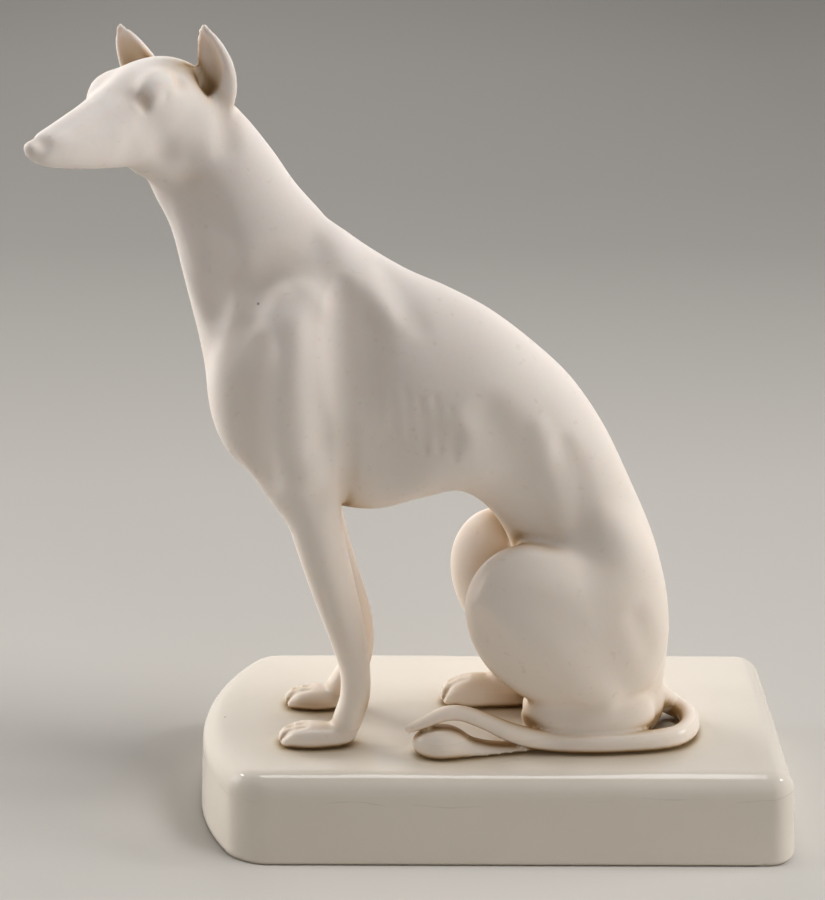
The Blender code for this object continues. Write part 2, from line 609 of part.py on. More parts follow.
def make_greyhound():
    vertices, faces = field_surface(dog_distance, (-69, -24, -1), (30, 16, 106), CELL)
    mesh = bpy.data.meshes.new("greyhound")
    mesh.from_pydata((vertices * DOG_HEIGHT / 100.0).tolist(), [], faces.tolist())
    dog = new_object("greyhound", mesh, plain_material("biscuit", BISCUIT, 0.6))
    dog.location = (DOG_SHIFT, -DOG_SETBACK, PLINTH_HEIGHT)
    thin = dog.modifiers.new("fewer faces", "DECIMATE")
    thin.ratio = DOG_TRIANGLES / (2 * len(faces))
    return dog


def plinth_outline():
    """Plan of the slab as points with their outward normals, anticlockwise from the square end."""
    half = PLINTH_DEPTH / 2
    bow_radius = (half ** 2 + PLINTH_BOW ** 2) / (2 * PLINTH_BOW)
    length = PLINTH_SIDE + PLINTH_BOW
    square_end = length / 2
    bow_centre = -length / 2 + bow_radius
    corner_rise = half - BOW_CORNER
    corner_run = math.sqrt((bow_radius - BOW_CORNER) ** 2 - corner_rise ** 2)
    bow_turn = math.atan2(corner_rise, -corner_run)

    outline = []

    def arc(centre_x, centre_y, radius, start, end, steps):
        for step in range(steps + 1):
            angle = start + (end - start) * step / steps
            normal = (math.cos(angle), math.sin(angle))
            outline.append((centre_x + radius * normal[0], centre_y + radius * normal[1], *normal))

    square_x = square_end - SQUARE_CORNER
    square_y = half - SQUARE_CORNER
    bow_x = bow_centre - corner_run
    arc(square_x, -square_y, SQUARE_CORNER, -math.pi / 2, 0.0, 6)
    arc(square_x, square_y, SQUARE_CORNER, 0.0, math.pi / 2, 6)
    arc(bow_x, corner_rise, BOW_CORNER, math.pi / 2, bow_turn, 4)
    arc(bow_centre, 0.0, bow_radius, bow_turn, 2 * math.pi - bow_turn, 14)
    arc(bow_x, -corner_rise, BOW_CORNER, 2 * math.pi - bow_turn, 1.5 * math.pi, 4)
    return outline


def plinth_levels():
    """Inset and height of each ring of the slab's side, from the underside up."""
    levels = [(PLINTH_FOOT_ROUND, 0.0), (0.0, PLINTH_FOOT_ROUND)]
    for step in range(6):
        angle = math.pi / 2 * step / 5
        inset = PLINTH_DRAFT + PLINTH_TOP_ROUND * (1.0 - math.cos(angle))
        levels.append((inset, PLINTH_HEIGHT - PLINTH_TOP_ROUND * (1.0 - math.sin(angle))))
    return levels


def make_plinth():
    mesh = bpy.data.meshes.new("plinth")
    form = bmesh.new()
    outline = plinth_outline()
    rings = []
    for inset, height in plinth_levels():
        ring = []
        for x, y, normal_x, normal_y in outline:
            ring.append(form.verts.new((x - inset * normal_x, y - inset * normal_y, height)))
        rings.append(ring)
    for lower, upper in zip(rings[:-1], rings[1:]):
        for index in range(len(outline)):
            after = (index + 1) % len(outline)
            form.faces.new((lower[index], lower[after], upper[after], upper[index]))
    form.faces.new(rings[0][::-1])
    form.faces.new(rings[-1])
    bmesh.ops.remove_doubles(form, verts=form.verts, dist=1e-6)
    form.to_mesh(mesh)
    form.free()
    plinth = new_object("plinth", mesh, plain_material("glaze", GLAZE, 0.18))
    mesh.set_sharp_from_angle(angle=math.radians(35))
    return plinth


clear_scene()
make_plinth()
make_greyhound()
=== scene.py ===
"""A seated greyhound in ivory biscuit porcelain on its glazed slab, on a table in a studio."""

import math

import bpy
import numpy as np
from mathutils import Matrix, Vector


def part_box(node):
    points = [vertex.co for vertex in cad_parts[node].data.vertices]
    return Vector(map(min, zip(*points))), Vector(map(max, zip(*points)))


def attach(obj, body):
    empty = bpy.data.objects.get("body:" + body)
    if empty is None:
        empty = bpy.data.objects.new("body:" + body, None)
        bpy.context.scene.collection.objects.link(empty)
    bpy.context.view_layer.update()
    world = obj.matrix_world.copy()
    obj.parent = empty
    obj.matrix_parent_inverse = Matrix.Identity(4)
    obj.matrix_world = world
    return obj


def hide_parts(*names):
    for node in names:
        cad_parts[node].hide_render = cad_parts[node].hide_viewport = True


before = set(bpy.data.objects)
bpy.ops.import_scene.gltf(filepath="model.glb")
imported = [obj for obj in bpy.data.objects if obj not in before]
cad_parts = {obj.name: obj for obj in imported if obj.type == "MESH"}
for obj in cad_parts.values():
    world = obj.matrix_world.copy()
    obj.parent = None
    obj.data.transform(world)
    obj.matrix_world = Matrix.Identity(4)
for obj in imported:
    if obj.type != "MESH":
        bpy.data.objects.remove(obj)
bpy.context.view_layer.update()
slab_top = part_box("plinth")[1].z

# The camera.
# It stands before the dog's left side, a little behind the middle of the slab and
# well above it, and looks down on the slab's front and top.
camera_tilt = math.radians(20.49)
camera_pan = math.radians(0.333)
picture_height = 900
focal_pixels = 2190.3
camera_place = (-0.01455, -0.4328, 0.2432)

camera_data = bpy.data.cameras.new("camera")
camera_data.sensor_fit = "VERTICAL"
camera_data.sensor_height = 36.0
camera_data.lens = focal_pixels / picture_height * camera_data.sensor_height
camera_data.clip_start = 0.02
camera = bpy.data.objects.new("camera", camera_data)
camera.location = camera_place
camera.rotation_euler = (math.radians(90) - camera_tilt, 0.0, camera_pan)
bpy.context.scene.collection.objects.link(camera)
bpy.context.scene.camera = camera

# The table and backdrop.
# One sheet of pale grey paper lies under the statue and runs on behind it. Its colour holds painted light
# and shade:
# darker and lighter bands from front to back, and lighter on the left than on the right.
paper_half = 3.0
paper_corners = [(-paper_half, -paper_half, 0.0), (paper_half, -paper_half, 0.0),
                 (paper_half, paper_half, 0.0), (-paper_half, paper_half, 0.0)]
paper_mesh = bpy.data.meshes.new("paper")
paper_mesh.from_pydata(paper_corners, [], [(0, 1, 2, 3)])
paper_sheet = bpy.data.objects.new("paper", paper_mesh)
bpy.context.scene.collection.objects.link(paper_sheet)

# how far behind the statue's middle, and the painted light tone of the paper there
paper_painted_light_tones = [(-0.56, 0.21), (-0.18, 0.49), (0.0, 0.55), (0.19, 0.54), (0.30, 0.485),
               (0.465, 0.42), (0.57, 0.43), (0.70, 0.465), (0.875, 0.515), (1.10, 0.55)]
tones_from, tones_to = -1.0, 1.2
paper_hue = (1.0, 0.945, 0.875)
# how far to the left and the right the painted light shifts, and its shares at the two ends
half_shift = 0.20
left_share, right_share = 1.10, 0.82


def paper_colour(tone):
    return (*(tone * part for part in paper_hue), 1.0)


paper_material = bpy.data.materials.new("paper")
paper_material.use_nodes = True
nodes = paper_material.node_tree.nodes
links = paper_material.node_tree.links
shader = nodes["Principled BSDF"]
shader.inputs["Roughness"].default_value = 0.9
shader.inputs["Specular IOR Level"].default_value = 0.1
place = nodes.new("ShaderNodeTexCoord")
split = nodes.new("ShaderNodeSeparateXYZ")
links.new(place.outputs["Object"], split.inputs["Vector"])
reach = nodes.new("ShaderNodeMapRange")
reach.inputs["From Min"].default_value = tones_from
reach.inputs["From Max"].default_value = tones_to
links.new(split.outputs["Y"], reach.inputs["Value"])
fade = nodes.new("ShaderNodeValToRGB")
links.new(reach.outputs["Result"], fade.inputs["Fac"])
stops = fade.color_ramp.elements
for behind, tone in paper_painted_light_tones:
    stop = stops.new((behind - tones_from) / (tones_to - tones_from))
    stop.color = paper_colour(tone)
for end in (0, -1):
    stops[end].color = paper_colour(paper_painted_light_tones[end][1])
painted_side_light = nodes.new("ShaderNodeMapRange")
painted_side_light.inputs["From Min"].default_value = -half_shift
painted_side_light.inputs["From Max"].default_value = half_shift
painted_side_light.inputs["To Min"].default_value = left_share
painted_side_light.inputs["To Max"].default_value = right_share
links.new(split.outputs["X"], painted_side_light.inputs["Value"])
toned = nodes.new("ShaderNodeVectorMath")
toned.operation = "SCALE"
links.new(fade.outputs["Color"], toned.inputs[0])
links.new(painted_side_light.outputs["Result"], toned.inputs["Scale"])
links.new(toned.outputs["Vector"], shader.inputs["Base Color"])
paper_mesh.materials.append(paper_material)

# The studio lights.
# Soft boxes stand in a ring round the statue and one hangs overhead. The glaze mirrors only
# this one, the left box and two small sparks, and two boxes light the paper alone.
box_target = Vector((0.0, 0.0, 0.085))
# name, azimuth from +X towards +Y, elevation, distance, side and power in watts
soft_boxes = [
    ("rim box", 150, 15, 0.95, 0.45, 9.4),
    ("right box", 0, 15, 0.95, 0.45, 4.6),
    ("back box", 60, 15, 0.95, 0.45, 2.4),
    ("overhead box", 90, 88, 0.95, 0.45, 3.1),
    ("front right box", -60, 15, 0.95, 0.45, 2.2),
    ("high back box", 90, 45, 0.95, 0.45, 1.4),
    ("left box", 180, 15, 0.95, 0.45, 1.3),
    ("left spark", 178, 36, 0.95, 0.10, 1.0),
    ("right spark", 2, 36, 0.95, 0.10, 1.0),
    ("table box", -25, 52, 1.40, 0.50, 9.8),
    ("backdrop box", 90, 39, 1.55, 0.80, 2.4),
]
paper_only = ("table box", "backdrop box")
not_on_paper = ("rim box", "back box", "high back box")
mirrored = ("left spark", "right spark", "overhead box", "left box")
for name, azimuth, elevation, distance, side, power in soft_boxes:
    turn = math.radians(azimuth)
    rise = math.radians(elevation)
    flat = math.cos(rise)
    outward = Vector((flat * math.cos(turn), flat * math.sin(turn), math.sin(rise)))
    light = bpy.data.lights.new(name, "AREA")
    light.shape = "SQUARE"
    light.size = side
    light.energy = power
    lamp = bpy.data.objects.new(name, light)
    lamp.location = box_target + distance * outward
    if name != "backdrop box":
        lamp.rotation_euler = outward.to_track_quat("Z", "Y").to_euler()
    lamp.visible_glossy = name in mirrored
    bpy.context.scene.collection.objects.link(lamp)
    if name in paper_only or name in not_on_paper:
        lit = bpy.data.collections.new(name)
        lit.objects.link(paper_sheet)
        link_state = "INCLUDE" if name in paper_only else "EXCLUDE"
        lit.collection_objects[0].light_linking.link_state = link_state
        lamp.light_linking.receiver_collection = lit

# The studio's walls, which the glaze mirrors.
# They are pale, brightest behind the statue and overhead, and give no light of their own
# to matt surfaces.
world = bpy.data.worlds.new("studio")
world.use_nodes = True
nodes = world.node_tree.nodes
links = world.node_tree.links
wall = nodes["Background"]
wall.inputs["Color"].default_value = (0.99, 0.98, 0.97, 1.0)
heading = nodes.new("ShaderNodeTexCoord")
split = nodes.new("ShaderNodeSeparateXYZ")
links.new(heading.outputs["Generated"], split.inputs["Vector"])
brightness = nodes.new("ShaderNodeMath")
brightness.operation = "ADD"
links.new(brightness.outputs["Value"], wall.inputs["Strength"])
# axis of the view, where along it the walls start and end to brighten, and how bright they are there
wall_tones = (("Y", -0.4, 0.8, 0.15, 0.55), ("Z", 0.3, 1.0, 0.0, 0.4))
for index, (axis, low, high, least, most) in enumerate(wall_tones):
    spread = nodes.new("ShaderNodeMapRange")
    spread.inputs["From Min"].default_value = low
    spread.inputs["From Max"].default_value = high
    spread.inputs["To Min"].default_value = least
    spread.inputs["To Max"].default_value = most
    links.new(split.outputs[axis], spread.inputs["Value"])
    links.new(spread.outputs["Result"], brightness.inputs[index])
bpy.context.scene.world = world
world.cycles_visibility.diffuse = False
bpy.context.scene.view_settings.view_transform = "Standard"

# The greyhound.
# One hollow cast of white porcelain, left unglazed as ivory biscuit, with a thin glaze
# over its feet, haunches and tail where it was joined to the slab.
DOG_HEIGHT = 0.151          # from the slab to the ear tips
DOG_SETBACK = 0.0060        # from the slab's middle to the dog's, towards its left
DOG_SHIFT = 0.00535         # from the slab's middle to the dog's, towards the rump
JOINT_GAP = 0.0003          # left for the slip under the dog

# From here on the dog's measures are in hundredths of its height: x towards the rump,
# y towards its right and z up from the slab
CELL = 0.42      # of the grid that its surface is worked out on
DOG_LOW = (-69, -24, -1)                # corners of that grid
DOG_HIGH = (30, 16, 106)
FAR = 50.0                              # the distance where no shape is near
NEAR_SIDE, FAR_SIDE = -1.0, 1.0     # the dog's left, towards -Y, and its right
BOTH_SIDES = (NEAR_SIDE, FAR_SIDE)

# Trunk and neck from the skull to the rump: x and z of the under line, x and z of the upper line,
# half width, and how much wider the section is above its middle than below
TRUNK = [
    (-48.5, 87.0, -43.5, 91.5, 2.6, 0.0),
    (-50.0, 82.0, -39.4, 90.6, 4.4, 0.0),
    (-49.0, 78.3, -36.7, 88.3, 4.9, 0.0),
    (-46.9, 73.6, -33.2, 83.8, 5.2, 0.0),
    (-45.5, 67.3, -29.6, 78.6, 5.6, -0.05),
    (-43.9, 59.8, -24.2, 73.2, 6.3, -0.1),
    (-42.0, 51.0, -16.2, 68.0, 7.5, -0.1),
    (-37.1, 41.2, -10.1, 65.2, 8.1, 0.0),
    (-28.2, 35.2, -4.3, 62.0, 8.5, 0.08),
    (-20.9, 33.6, 1.5, 57.5, 8.9, 0.10),
    (-15.0, 35.2, 6.8, 52.4, 8.3, 0.10),
    (-9.6, 36.6, 11.3, 45.8, 7.3, 0.1),
    (-5.0, 34.4, 14.9, 38.4, 6.7, 0.05),
    (-1.4, 28.9, 18.5, 29.9, 7.1, 0.0),
    (0.2, 21.0, 20.5, 21.6, 7.6, 0.0),
    (2.6, 12.0, 21.4, 12.6, 7.2, 0.0),
    (4.0, 4.0, 20.7, 5.0, 6.4, 0.0),
    (5.0, -4.0, 19.0, -4.0, 5.6, 0.0),
]

# The head has a frame of its own: forward along the muzzle, to the dog's left, and up,
# from a point midway between the eyes
HEAD_PLACE = (-51.1, -5.5, 92.6)
HEAD_TURN = math.radians(47.0)      # from straight ahead towards the dog's left
HEAD_ROLL = math.radians(6.0)       # left side up
SKULL = [
    (-12.5, -5.0, -12.5, -1.0, 2.0, 0.0),
    (-11.2, -7.6, -11.4, 1.2, 4.2, 0.0),
    (-8.2, -9.6, -8.8, 3.0, 5.7, 0.10),
    (-4.5, -9.9, -5.5, 3.8, 6.0, 0.20),
    (0.0, -9.5, -1.2, 3.3, 5.6, 0.30),
    (3.2, -9.2, 2.4, 1.7, 4.6, 0.32),
    (6.4, -8.8, 6.0, -0.1, 3.7, 0.15),
    (10.0, -8.2, 9.6, -1.4, 3.05, 0.05),
    (13.2, -7.5, 13.0, -2.6, 2.45, 0.0),
    (15.2, -6.7, 15.2, -3.4, 1.8, 0.0),
    (16.3, -5.8, 16.4, -4.4, 0.8, 0.0),
]

# Each leg and the tail as a rod: x, y, z and radius at each knot
NEAR_FORELEG = [
    (-29.4, -6.0, 40.0, 3.6), (-28.2, -5.8, 34.0, 3.6), (-26.6, -5.6, 27.0, 3.25),
    (-25.2, -5.5, 21.5, 2.95), (-23.9, -5.5, 16.5, 2.6), (-22.9, -5.5, 11.5, 2.15),
    (-22.9, -5.6, 7.0, 2.1), (-24.0, -5.9, 3.4, 2.1),
]
FAR_FORELEG = [
    (-30.4, 6.0, 40.0, 3.6), (-29.2, 5.8, 34.0, 3.5), (-27.2, 5.6, 27.0, 3.1),
    (-25.4, 5.5, 21.5, 2.75), (-23.6, 5.5, 16.5, 2.4), (-22.5, 5.4, 11.5, 2.1),
    (-23.2, 5.3, 7.0, 2.1), (-25.2, 5.0, 3.4, 2.1),
]
NEAR_HIND_FOOT = [
    (-11.0, -9.3, 1.3, 2.1), (-7.5, -9.2, 0.6, 1.9), (-4.0, -8.9, 0.0, 1.6), (0.0, -8.2, -0.1, 1.4),
    (4.0, -7.2, 0.6, 1.3),
]
TAIL = [
    (17.5, -0.5, 6.5, 3.0), (20.6, 1.6, 3.4, 2.0), (22.9, 1.9, 1.9, 1.6), (24.7, -0.6, 1.5, 1.5),
    (24.2, -4.7, 1.4, 1.5), (20.7, -7.6, 1.4, 1.5), (11.4, -8.8, 1.4, 1.5), (4.4, -8.6, 1.5, 1.45),
    (-0.9, -9.2, 3.2, 1.35), (-4.4, -9.3, 4.9, 1.2), (-7.6, -9.4, 6.2, 1.1), (-10.2, -9.6, 6.3, 1.05),
    (-13.0, -9.8, 5.1, 0.85), (-15.2, -9.9, 4.1, 0.6),
]


def unit(vector):
    vector = np.asarray(vector, float)
    return vector / np.linalg.norm(vector)


def smooth_min(first, second, blend):
    overlap = np.maximum(blend - np.abs(first - second), 0.0)
    return np.minimum(first, second) - overlap * overlap / (4.0 * blend)


def smooth_curve(knots, steps):
    """A smooth curve through the knots, all columns carried along."""
    knots = np.asarray(knots, float)
    padded = np.vstack([2 * knots[0] - knots[1], knots, 2 * knots[-1] - knots[-2]])
    rows = []
    for index in range(len(knots) - 1):
        before, start, end, after = padded[index:index + 4]
        for share in np.arange(steps) / steps:
            linear = (end - before) * share
            square = (2 * before - 5 * start + 4 * end - after) * share ** 2
            cube = (3 * start - before - 3 * end + after) * share ** 3
            rows.append(0.5 * (2 * start + linear + square + cube))
    rows.append(knots[-1])
    return np.array(rows)


def rod_offsets(points, rows):
    """For each short stretch of a rod: the offset of every point from it, and the radius there."""
    for start, end in zip(rows[:-1], rows[1:]):
        axis = end[:3] - start[:3]
        offset = points - start[:3]
        share = np.clip(offset @ axis / (axis @ axis + 1e-9), 0.0, 1.0)
        yield offset - share[:, None] * axis, start[3] + share * (end[3] - start[3])


def ellipse_distance(first, second, first_half, second_half):
    """Distance to an ellipse, close to its edge."""
    size = np.hypot(first / first_half, second / second_half) + 1e-9
    slope = np.hypot(first / first_half ** 2, second / second_half ** 2) + 1e-9
    return size * (size - 1.0) / slope


# Shapes: each has low and high corners of its box, and a distance

class Lump:
    """An ellipsoid, its half sizes along its long axis, to its side and across both."""

    def __init__(self, centre, half, long_axis=(1, 0, 0), side_axis=(0, 1, 0)):
        self.centre = np.asarray(centre, float)
        self.half = np.asarray(half, float)
        long_axis = unit(long_axis)
        third = unit(np.cross(long_axis, side_axis))
        self.axes = np.array([long_axis, np.cross(third, long_axis), third])
        reach = np.sqrt(((self.half[:, None] * self.axes) ** 2).sum(0))
        self.low = self.centre - reach
        self.high = self.centre + reach

    def distance(self, points):
        local = (points - self.centre) @ self.axes.T / self.half
        size = np.sqrt((local * local).sum(1)) + 1e-9
        slope = np.sqrt(((local / self.half) ** 2).sum(1)) + 1e-9
        return size * (size - 1.0) / slope


class Rod:
    """A tapering rod along a smooth curve, flattened from side to side."""

    def __init__(self, knots, steps=4, flat=1.0):
        self.rows = smooth_curve(knots, steps)
        self.flat = flat
        radius = self.rows[:, 3:4]
        self.low = (self.rows[:, :3] - radius).min(0)
        self.high = (self.rows[:, :3] + radius).max(0)

    def distance(self, points):
        best = np.full(len(points), 4 * FAR)
        for gap, radius in rod_offsets(points, self.rows):
            gap[:, 1] /= self.flat
            best = np.minimum(best, np.sqrt((gap * gap).sum(1)) - radius)
        return best


class Loft:
    """Egg-shaped sections between an under line and an upper line in the x-z plane."""

    def __init__(self, knots, steps=6):
        self.rows = smooth_curve(knots, steps)
        width = 1.2 * self.rows[:, 4].max()
        xs = self.rows[:, [0, 2]]
        zs = self.rows[:, [1, 3]]
        self.low = np.array([xs.min(), -width, zs.min()])
        self.high = np.array([xs.max(), width, zs.max()])

    def sides(self, flat):
        """Signed distance of each point from the line of each section."""
        across = self.rows[:, 2:4] - self.rows[:, 0:2]
        across /= np.linalg.norm(across, axis=1)[:, None]
        offset_x = flat[None, :, 0] - self.rows[:, None, 0]
        offset_z = flat[None, :, 1] - self.rows[:, None, 1]
        return across[:, None, 0] * offset_z - across[:, None, 1] * offset_x

    def distance(self, points):
        rows = self.rows
        flat = points[:, [0, 2]]
        side = self.sides(flat)
        passed = side < 0
        if passed[0].sum() < passed[-1].sum():
            passed = ~passed
        last = len(rows) - 1
        index = np.clip(passed.sum(0), 1, last)
        column = np.arange(len(points))
        before = side[index - 1, column]
        after = side[index, column]
        share = np.clip(before / (before - after + 1e-12), 0.0, 1.0)
        row = rows[index - 1] + share[:, None] * (rows[index] - rows[index - 1])
        across = row[:, 2:4] - row[:, 0:2]
        depth = np.linalg.norm(across, axis=1)
        height = 2.0 * ((flat - row[:, 0:2]) * across).sum(1) / depth ** 2 - 1.0
        swell = row[:, 5]
        width = row[:, 4] * (1.0 + swell * np.clip(height, -1.3, 1.3) - 0.5 * swell ** 2)
        inner = ellipse_distance(height * depth / 2, points[:, 1], depth / 2, width)
        past_start = np.where((index == 1) & (share <= 0), np.abs(before), 0.0)
        past_end = np.where((index == last) & (share >= 1), np.abs(after), 0.0)
        beyond = np.maximum(past_start, past_end)
        return np.where(beyond > 0, np.maximum(inner, 0.0) + beyond, inner)


class Leaf:
    """A pointed leaf on its base; its section is an ellipse, set forward by a share of the width."""

    def __init__(self, base, tip, facing, width, depth, forward):
        self.base = np.asarray(base, float)
        self.length = np.linalg.norm(np.subtract(tip, base))
        up = unit(np.subtract(tip, base))
        facing = unit(facing - up * (facing @ up))
        outward = np.cross(up, facing) * np.sign(base[1])
        self.axes = np.array([outward, facing, up])
        self.width = width
        self.depth = depth
        self.forward = forward
        self.low = np.minimum(base, tip) - 1.2 * width
        self.high = np.maximum(base, tip) + 1.2 * width

    def distance(self, points):
        local = (points - self.base) @ self.axes.T
        share = local[:, 2] / self.length
        taper = np.clip((share - 0.35) / 0.65, 0.0, 1.0)
        shape = (1.0 - taper ** 1.8 + 1e-6) ** 0.75
        foot = np.sqrt(1.0 - np.clip((0.3 - share) / 0.55, 0.0, 0.99) ** 2)
        wide = self.width * shape * foot
        thick = np.maximum(wide * self.depth, 0.45)
        bow = 2.2 * share * (1.0 - share)
        aside = local[:, 0] - 0.8 * bow
        ahead = local[:, 1] + 0.6 * bow - self.forward * self.width * (0.55 + 0.45 * shape)
        section = ellipse_distance(aside, ahead, np.maximum(wide, 0.35), thick)
        below = -local[:, 2] - 0.25 * self.length
        above = local[:, 2] - self.length
        return np.maximum(section, np.maximum(below, above))


class Turned:
    """A shape given in the frame of the head."""

    def __init__(self, shape):
        self.shape = shape
        box = [(shape.low[0], shape.high[0]), (shape.low[1], shape.high[1]), (shape.low[2], shape.high[2])]
        corners = np.array(np.meshgrid(*box)).reshape(3, 8).T @ HEAD_AXES + HEAD_PLACE
        self.low = corners.min(0)
        self.high = corners.max(0)

    def distance(self, points):
        return self.shape.distance((points - HEAD_PLACE) @ HEAD_AXES.T)


class Clay:
    """The distance from many points to the surface of the figure, worked up shape by shape."""

    def __init__(self, points):
        self.points = points
        self.distance = np.full(len(points), FAR)

    def near(self, low, high, margin):
        return ((self.points > low - margin) & (self.points < high + margin)).all(1)

    def add(self, shape, blend):
        near = self.near(shape.low, shape.high, blend + 3.0)
        self.distance[near] = smooth_min(self.distance[near], shape.distance(self.points[near]), blend)

    def carve(self, shape, blend):
        near = self.near(shape.low, shape.high, blend + 0.5)
        self.distance[near] = -smooth_min(-self.distance[near], shape.distance(self.points[near]), blend)

    def swell(self, rise, knots):
        """Raise the surface softly along a curve, or hollow it; each knot is x, y, z and width."""
        rows = smooth_curve(knots, 4) if len(knots) > 1 else np.array([knots[0], knots[0]], float)
        near = self.near(rows[:, :3].min(0), rows[:, :3].max(0), 2.2 * rows[:, 3].max())
        best = np.full(near.sum(), FAR)
        for gap, width in rod_offsets(self.points[near], rows):
            best = np.minimum(best, (gap * gap).sum(1) / width ** 2)
        self.distance[near] -= rise * np.maximum(1.0 - best / 4.0, 0.0) ** 3

    def swell_both(self, rise, *knots):
        """The same relief on the dog's left and right."""
        for side in BOTH_SIDES:
            self.swell(rise, [(x, y * side, z, width) for x, y, z, width in knots])


def head_axes():
    """Forward, left and up of the head, as rows."""
    forward = np.array([-math.cos(HEAD_TURN), -math.sin(HEAD_TURN), 0.0])
    level = np.array([math.sin(HEAD_TURN), -math.cos(HEAD_TURN), 0.0])
    up = np.array([0.0, 0.0, 1.0])
    left = math.cos(HEAD_ROLL) * level + math.sin(HEAD_ROLL) * up
    return np.array([forward, left, np.cross(forward, left)])


HEAD_AXES = head_axes()


def add_ear(clay, side):
    """An upright ear: a leaf with a shallow hollow in its front; the left one sits further back."""
    back, aside = (-10.9, 5.1) if side > 0 else (-9.6, 5.8)
    base = np.array([back, aside * side, -2.4])
    tip = np.array([back + 3.5, (aside + 2.1) * side, 7.7])
    facing = np.array([0.97, 0.22, 0.0])
    width = 2.75 if side > 0 else 2.95
    clay.add(Turned(Leaf(base, tip, facing, width=width, depth=0.46, forward=0.0)), 1.4)
    inward = np.array([0.0, -0.3 * side, 0.0])
    low = base + 0.30 * (tip - base) + inward
    high = base + 0.94 * (tip - base) + 0.5 * inward
    clay.carve(Turned(Leaf(low, high, facing, width=0.66 * width, depth=0.60, forward=0.72)), 0.9)


def swell_head(clay, rise, *knots):
    """Relief on both sides of the head, its knots in the head's frame."""
    for side in BOTH_SIDES:
        turned = []
        for forward, left, up, width in knots:
            place = np.array([forward, left * side, up]) @ HEAD_AXES + HEAD_PLACE
            turned.append((*place, width))
        clay.swell(rise, turned)


def add_head(clay):
    clay.add(Turned(Loft(SKULL)), 4.0)
    clay.add(Lump((-48.6, -3.0, 83.6), (3.4, 2.8, 2.1)), 2.5)      # throat under the jaw
    near_brow = Lump((-0.6, 4.6, 1.0), (1.9, 1.0, 0.9), (1.0, -0.3, -0.25))
    far_brow = Lump((0.7, -4.2, 0.5), (2.5, 1.3, 1.2), (1.0, 0.3, -0.25))
    for side, brow in ((1.0, near_brow), (-1.0, far_brow)):
        clay.add(Turned(brow), 2.6)
        add_ear(clay, side)
    # stop before the forehead, cheek bone and temple
    swell_head(clay, -0.42, (2.4, 3.0, 0.8, 2.2))
    swell_head(clay, 0.25, (-2.7, 6.2, -2.3, 1.6), (-5.5, 6.3, -2.0, 1.8))
    swell_head(clay, -0.3, (-4.1, 5.2, 0.6, 1.0))
    # groove in front of the cheek, upper lip, jaw muscle and the hollow behind the cheek
    swell_head(clay, -0.3, (1.1, 4.8, -3.5, 1.4), (-0.7, 4.3, -6.1, 1.6), (-2.2, 3.3, -8.3, 1.4))
    swell_head(clay, 0.25, (6.0, 3.4, -4.6, 2.2), (11.0, 2.6, -5.0, 1.8))
    swell_head(clay, 0.3, (-4.6, 6.0, -6.0, 2.6), (-6.6, 6.4, -8.0, 2.4))
    swell_head(clay, -0.35, (-9.6, 6.6, -4.5, 1.5), (-9.6, 6.8, -8.0, 1.7))
    # eye: inner corner, ball and upper lid
    swell_head(clay, -0.42, (1.5, 4.8, -0.9, 0.75), (1.3, 4.8, -1.6, 0.65))
    swell_head(clay, 0.46, (-0.1, 5.4, -0.4, 0.85))
    swell_head(clay, 0.12, (1.2, 4.9, 0.8, 0.7), (-0.4, 5.4, 1.0, 0.8), (-2.0, 5.7, 0.0, 0.8))
    nose = Lump((15.6, 0.0, -4.6), (1.2, 1.45, 1.0))
    clay.add(Turned(nose), 0.6)
    swell_head(clay, -0.5, (15.2, 1.1, -4.3, 1.0))
    swell_head(clay, 0.2, (13.0, 2.1, -4.0, 1.1))


def add_shoulders(clay):
    for side in BOTH_SIDES:
        clay.add(Lump((-36.8, 3.4 * side, 48.5), (8.5, 4.2, 5.0), (-0.25, 0.0, 0.97)), 3.0)   # breast
        clay.add(Lump((-35.2, 5.6 * side, 51.0), (9.0, 3.3, 4.6), (0.35, 0.0, -0.94)), 3.0)   # shoulder
        clay.add(Lump((-29.3, 5.6 * side, 51.5), (15.5, 3.8, 5.6), (0.04, 0.0, -1.0)), 3.0)   # triceps
        clay.add(Lump((-31.3, 5.6 * side, 42.2), (9.3, 3.4, 5.2), (-0.38, 0.0, 0.92)), 2.0)   # elbow


def add_hindquarters(clay):
    near_thigh = Lump((6.3, -5.8, 17.8), (15.2, 6.1, 11.8), (-0.76, -0.10, 0.65))
    far_thigh = Lump((4.9, 5.7, 17.9), (16.0, 6.0, 11.6), (-0.76, 0.10, 0.64))
    for thigh in (near_thigh, far_thigh):
        clay.add(thigh, 1.3)
    for side in BOTH_SIDES:
        clay.add(Lump((13.7, 4.2 * side, 22.0), (13.0, 5.4, 6.6), (0.20, 0.0, -0.97)), 2.5)   # haunch
    clay.add(Lump((10.0, -5.4, 4.0), (9.4, 3.6, 4.6)), 1.6)                                   # near hock
    clay.add(Lump((6.0, 6.4, 5.4), (9.5, 3.4, 5.0), (1.0, 0.0, 0.06)), 2.0)                   # far hock
    clay.add(Lump((11.0, -0.5, 3.0), (10.0, 6.3, 5.0)), 2.0)                                  # seat


